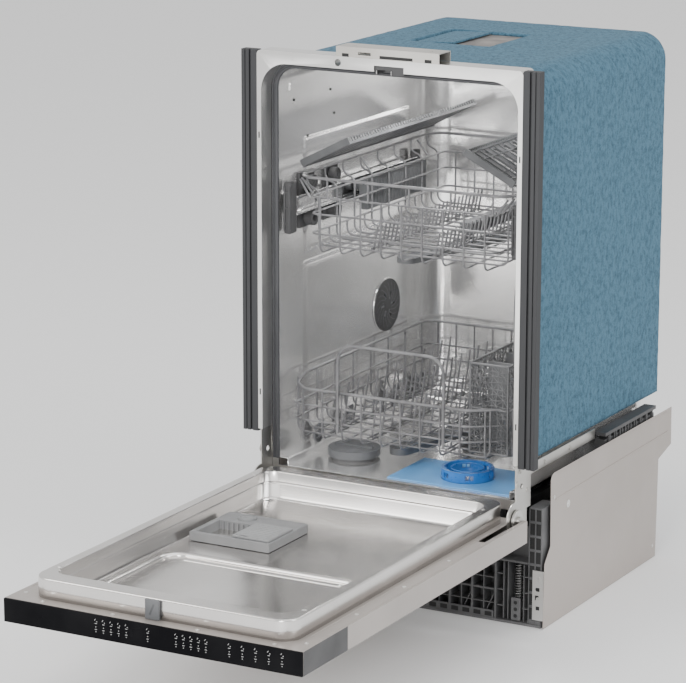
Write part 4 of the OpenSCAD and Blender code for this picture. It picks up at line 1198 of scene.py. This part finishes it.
# ---------------------------------------------------------------- door shell
# The door's outer sheet is folded steel with a thin beige paint and open slots for its hinges.
# Dark moulded caps close the sides of the control end.

door_paint = plain_finish("door_paint", (0.40, 0.37, 0.345), 0.34, (5, (1, 1, 1), 5.0),
                          (0.37, 0.338, 0.316), (0.44, 0.405, 0.378),
                          (30, 0.28, 0.42), (700, (1, 0.04, 1), 2.0), 0.10, 0.0002, metal=0.4)
cap_plastic = plain_finish("cap_plastic", (0.045, 0.045, 0.047), 0.42, (18, (1, 1, 1), 5.0),
                           (0.036, 0.036, 0.038), (0.058, 0.058, 0.060),
                           (50, 0.34, 0.5), (1200,), 0.15, 0.0002)
cap_edge = -516
shell_copy = cad_copy("door_shell")
bmesh.ops.bisect_plane(shell_copy, geom=shell_copy.verts[:] + shell_copy.edges[:]
                       + shell_copy.faces[:],
                       plane_co=at(0, cap_edge, 160), plane_no=(0, 1, 0))
cap_back = at(0, cap_edge, 0).y
for face in shell_copy.faces:
    centre = face.calc_center_median()
    if centre.y < cap_back and abs(face.normal.x) > 0.9 and abs(centre.x) > 0.2215:
        face.material_index = 1
door_mesh = mesh_of("door_shell", shell_copy)
door_mesh.materials.append(door_paint)
door_mesh.materials.append(cap_plastic)
door = keep("door_shell", door_mesh, None, "door", "beige_steel", "door_shell", smooth=35)
door_edge = door.modifiers.new("edges", "BEVEL")
door_edge.width, door_edge.segments, door_edge.limit_method = 0.0006, 2, "ANGLE"
door_edge.angle_limit, door_edge.use_clamp_overlap = math.radians(40), True
screws("door_flange_screws", "door", "satin_steel", satin_steel,
       [(s * 210, y, 176.2) for s in (-1, 1) for y in (-600, -470, -340, -210)]
       + [(x, -621, 176.2) for x in (-170, -62, 64, 176)], 3.0, 0.8, (0, 0, 0), 0.5)
blocks("door_flange_beads", "door", "beige_steel", door_paint,
       [(s * x, -344, 176.0) for s in (-1, 1) for x in (201, 218)], (2.2, 460, 1.0), bevel=0.4)
blocks("flange_corner_pads", "door", "beige_steel", door_paint,
       [(s * 187.5, y, 175.9) for s in (-1, 1) for y in (-603.5, -7.5)], (9, 9, 0.6), bevel=0.2)
blocks("hinge_slot_guides", "door", "zinc_plate", zinc_plate,
       [(s * 213.6, -74, 172.2) for s in (-1, 1)], (4.6, 70, 3.0), bevel=0.6)

# ---------------------------------------------------------------- door pan
# The inner door is a deep-drawn stainless pan with a raised rim and a sunken middle.
# A long bead is pressed across its floor and the flange is seamed over the outer sheet.

pan_steel = steel("pan_steel", (0.66, 0.64, 0.62), (0.78, 0.76, 0.74), 0.16, 0.28, (1, 0.04, 1),
                  600, 0.06)
pan_y0, pan_y1, rim_inset = -611.0, -0.5, 6.3


def rounded_loop(half, front, back, radius, z, steps=8):
    """A level closed loop with round corners, anticlockwise seen from above."""
    points = []
    for cx, cy, start in ((half - radius, back - radius, 0), (-half + radius, back - radius, 90),
                          (-half + radius, front + radius, 180),
                          (half - radius, front + radius, 270)):
        for k in range(steps + 1):
            turn = math.radians(start + 90 * k / steps)
            points.append(at(cx + radius * math.cos(turn), cy + radius * math.sin(turn), z))
    return points


pan_shape = bmesh.new()
quarter_turn = [math.radians(90 * k / 5) for k in range(1, 6)]
pan_section = [(0.0, 26, 176.2), (0.0, 26, 190), (0.3, 26, 201.4)]
for turn in quarter_turn:
    pan_section.append((0.3 + 2.6 * (1 - math.cos(turn)), 26 - 2.6 * (1 - math.cos(turn)),
                        201.4 + 2.6 * math.sin(turn)))
pan_section += [(4.5, 22, 204.05), (14.6, 20, 204.05)]
for turn in quarter_turn:
    pan_section.append((15.0 + 1.4 * math.sin(turn), 20, 204.05 - 1.4 * (1 - math.cos(turn))))
side_slope = [(17.0, 20, 198.0), (18.6, 21, 190.8), (20.4, 22, 189.8), (20.9, 24, 187.5),
              (23.4, 25, 172.0)]
for turn in quarter_turn:
    side_slope.append((23.8 + 5.0 * (1 - math.cos(turn)), 26, 171.4 - 5.0 * math.sin(turn)))
pan_section += side_slope
pan_loops = []
for inset, radius, z in pan_section:
    past = max(0.0, inset - rim_inset)
    front_in, back_in = (rim_inset + past * 2.12, rim_inset + past * 1.95) if past else (inset,
                                                                                         inset)
    pan_loops.append([pan_shape.verts.new(p) for p in
                      rounded_loop(195 - inset, pan_y0 + front_in, pan_y1 - back_in, radius, z)])
skin(pan_shape, pan_loops)
pan_shape.faces.new(pan_loops[-1])
bmesh.ops.recalc_face_normals(pan_shape, faces=pan_shape.faces)
pan_mesh = mesh_of("door_pan", pan_shape)
if pan_mesh.polygons[len(pan_mesh.polygons) - 1].normal.z < 0:
    pan_mesh.flip_normals()
pan = keep("door_pan", pan_mesh, pan_steel, "door", "polished_steel", "door_liner", smooth=40)
pan_sheet = pan.modifiers.new("sheet", "SOLIDIFY")
pan_sheet.thickness, pan_sheet.offset = 0.0008, -1.0


def capsule(name, body, slot, material, x0, x1, y, z, wide, high):
    """A pressed bead with round ends lying across the machine, low on a flat."""
    shape = bmesh.new()
    rows = []
    for share in (0.0, 0.25, 0.5, 0.75, 1.0):
        radius = wide / 2 * math.sqrt(max(0.0, 1 - share ** 2)) if share < 1 else wide * 0.12
        lift = high * share
        loop = []
        for k in range(25):
            turn = math.radians(-90 + 180 * k / 24)
            loop.append(shape.verts.new(at(x1 + radius * math.cos(turn), y
                                           + radius * math.sin(turn), z + lift)))
        for k in range(25):
            turn = math.radians(90 + 180 * k / 24)
            loop.append(shape.verts.new(at(x0 + radius * math.cos(turn), y
                                           + radius * math.sin(turn), z + lift)))
        rows.append(loop)
    skin(shape, rows)
    shape.faces.new(rows[-1])
    shape.faces.new(rows[0][::-1])
    bmesh.ops.recalc_face_normals(shape, faces=shape.faces)
    return keep(name, mesh_of(name, shape), material, body, slot, smooth=50)


wires("pan_bead", "door", "polished_steel", pan_steel,
      [[(-153, -546, 165.6), (-153, -336, 165.6), (153, -336, 165.6), (153, -546, 165.6)]], 11.0,
      30)
capsule("pan_bead_step", "door", "polished_steel", pan_steel, -118, 118, -352, 166.2, 10, 2.0)
screws("pan_screws", "door", "satin_steel", satin_steel,
       [(s * 184, y, 204.1) for s in (-1, 1) for y in (-560, -56)], 3.2, 0.4, (0, 0, 0), 0.3)

# ---------------------------------------------------------------- dispenser
# A grey moulded dispenser is let into the pan: an open detergent chamber, its sliding lid
# and the round cap of the rinse-aid tank.

dispenser_grey = plain_finish("dispenser_grey", (0.20, 0.202, 0.205), 0.40, (14, (1, 1, 1), 5.0),
                              (0.175, 0.177, 0.180), (0.23, 0.232, 0.235),
                              (60, 0.32, 0.48), (1200,), 0.15, 0.0002)
lid_grey = plain_finish("lid_grey", (0.24, 0.242, 0.245), 0.36, (14, (1, 1, 1), 5.0),
                        (0.215, 0.217, 0.220), (0.27, 0.272, 0.275),
                        (60, 0.28, 0.44), (1200,), 0.15, 0.0002)
soften("dispenser_body", "dispenser_body", "door", "dispenser_grey", dispenser_grey, 1.2, 3)
soften("dispenser_lid", "dispenser_lid", "dispenser_lid", "dispenser_grey", lid_grey, 0.9, 3)
blocks("dispenser_lid_ribs", "dispenser_lid", "dispenser_grey", lid_grey,
       [(-65, y, 183.4) for y in range(-264, -206, 7)], (40, 1.8, 1.2), bevel=0.4)
blocks("dispenser_lid_tab", "dispenser_lid", "dispenser_grey", lid_grey, [(-40.5, -236, 182.6)],
       (7, 22, 3.6), bevel=1.0)
blocks("dispenser_chamber_ribs", "door", "dispenser_grey", dispenser_grey,
       [(x, -206.8, 168) for x in range(-146, -98, 8)], (1.8, 2.2, 20), bevel=0.4)
wires("dispenser_rim", "door", "dispenser_grey", dispenser_grey,
      [[(-96, -274, 179.4), (-158.6, -274, 179.4), (-158.6, -166.2, 179.4), (-34.4, -166.2, 179.4),
        (-34.4, -274, 179.4), (-96, -274, 179.4)]], 2.0, 7)
soften("rinse_cap", "rinse_cap", "rinse_cap", "dispenser_grey", lid_grey, 0.7)
wires("rinse_cap_ring", "rinse_cap", "dispenser_grey", lid_grey,
      [[(*on_circle(-120, -184, 11.6, 15 * k), 181.6) for k in range(25)]], 1.3, 0.4)

# ---------------------------------------------------------------- latch, hinge arms and board
# The latch is a moulded tongue on the door's edge; the arms are plated steel behind the slots.
# The control board is screwed behind the strip, out of sight.

soften("door_latch", "door_latch", "door", "grey_plastic", grey_plastic, 1.0, 3)
blocks("latch_marks", "door", "grey_plastic", dark_grey, [(-6.5, -615.8, 190)], (3.0, 0.5, 16),
       (0, 24, 0), 0.2)
soften("hinge_arms", "hinge_arms", "door", "zinc_plate", zinc_plate, 0.4)
circuit_green, tree, shader, coords = finish_of("circuit_green", (0.02, 0.14, 0.05), 0.35)
tracks = tree.nodes.new("ShaderNodeTexBrick")
tracks.inputs["Scale"].default_value = 160
tree.links.new(coords, tracks.inputs["Vector"])
tint_by(tree, shader, tracks.outputs["Fac"], (0.015, 0.11, 0.04), (0.05, 0.24, 0.09))
rough_by(tree, shader, grain(tree, coords, 50), 0.28, 0.42)
soften("control_board", "control_board", "door", "circuit_green", circuit_green, 0.3)

# ---------------------------------------------------------------- control strip
# A gloss black strip with touch keys closes the edge of the door.
# Its marks are printed in pale grey: groups of dots and short bars, with no words.

gloss_black, tree, shader, coords = finish_of("gloss_black", (0.004, 0.004, 0.005), 0.3)
shader.inputs["Specular IOR Level"].default_value = 0.04
rough_by(tree, shader, grain(tree, coords, 25, (1, 1, 1), 4.0), 0.20, 0.32)
tint_by(tree, shader, grain(tree, coords, 12), (0.004, 0.004, 0.005), (0.010, 0.010, 0.011))
relief(tree, shader, grain(tree, coords, 90), 0.03, 0.0002)
print_grey = plain_finish("print_grey", (0.50, 0.50, 0.50), 0.5, (60,), (0.45, 0.45, 0.45),
                          (0.55, 0.55, 0.55),
                          (80, 0.42, 0.6))
strip = soften("control_panel", "control_panel", "door", "gloss_black", gloss_black, 0.7)
face_y = at(0, -633.2, 0).y
for corner in strip.data.vertices:
    corner.co.y = max(corner.co.y, face_y)
mark_y = -633.3
key_dots, key_bars, key_ticks = [], [], []
for start, count, pitch in ((-80, 5, 11.5), (-2, 1, 11), (40, 5, 11), (118, 5, 19)):
    for k in range(count):
        x = start + k * pitch
        key_dots += [(x, mark_y, z) for z in (153.5, 160)] + [(x + 1.6, mark_y, 167)]
        key_bars += [(x, mark_y, z) for z in (156.6, 164.5)]
        key_ticks += [(x - 1.2, mark_y, 169.5)]
blocks("key_dots", "door", "gloss_black", print_grey, key_dots, (1.0, 0.3, 1.0), bevel=0)
blocks("key_bars", "door", "gloss_black", print_grey, key_bars, (3.2, 0.3, 0.6), bevel=0)
blocks("key_ticks", "door", "gloss_black", print_grey, key_ticks, (0.6, 0.3, 2.6), (0, 35, 0), 0)
bpy.context.view_layer.update()
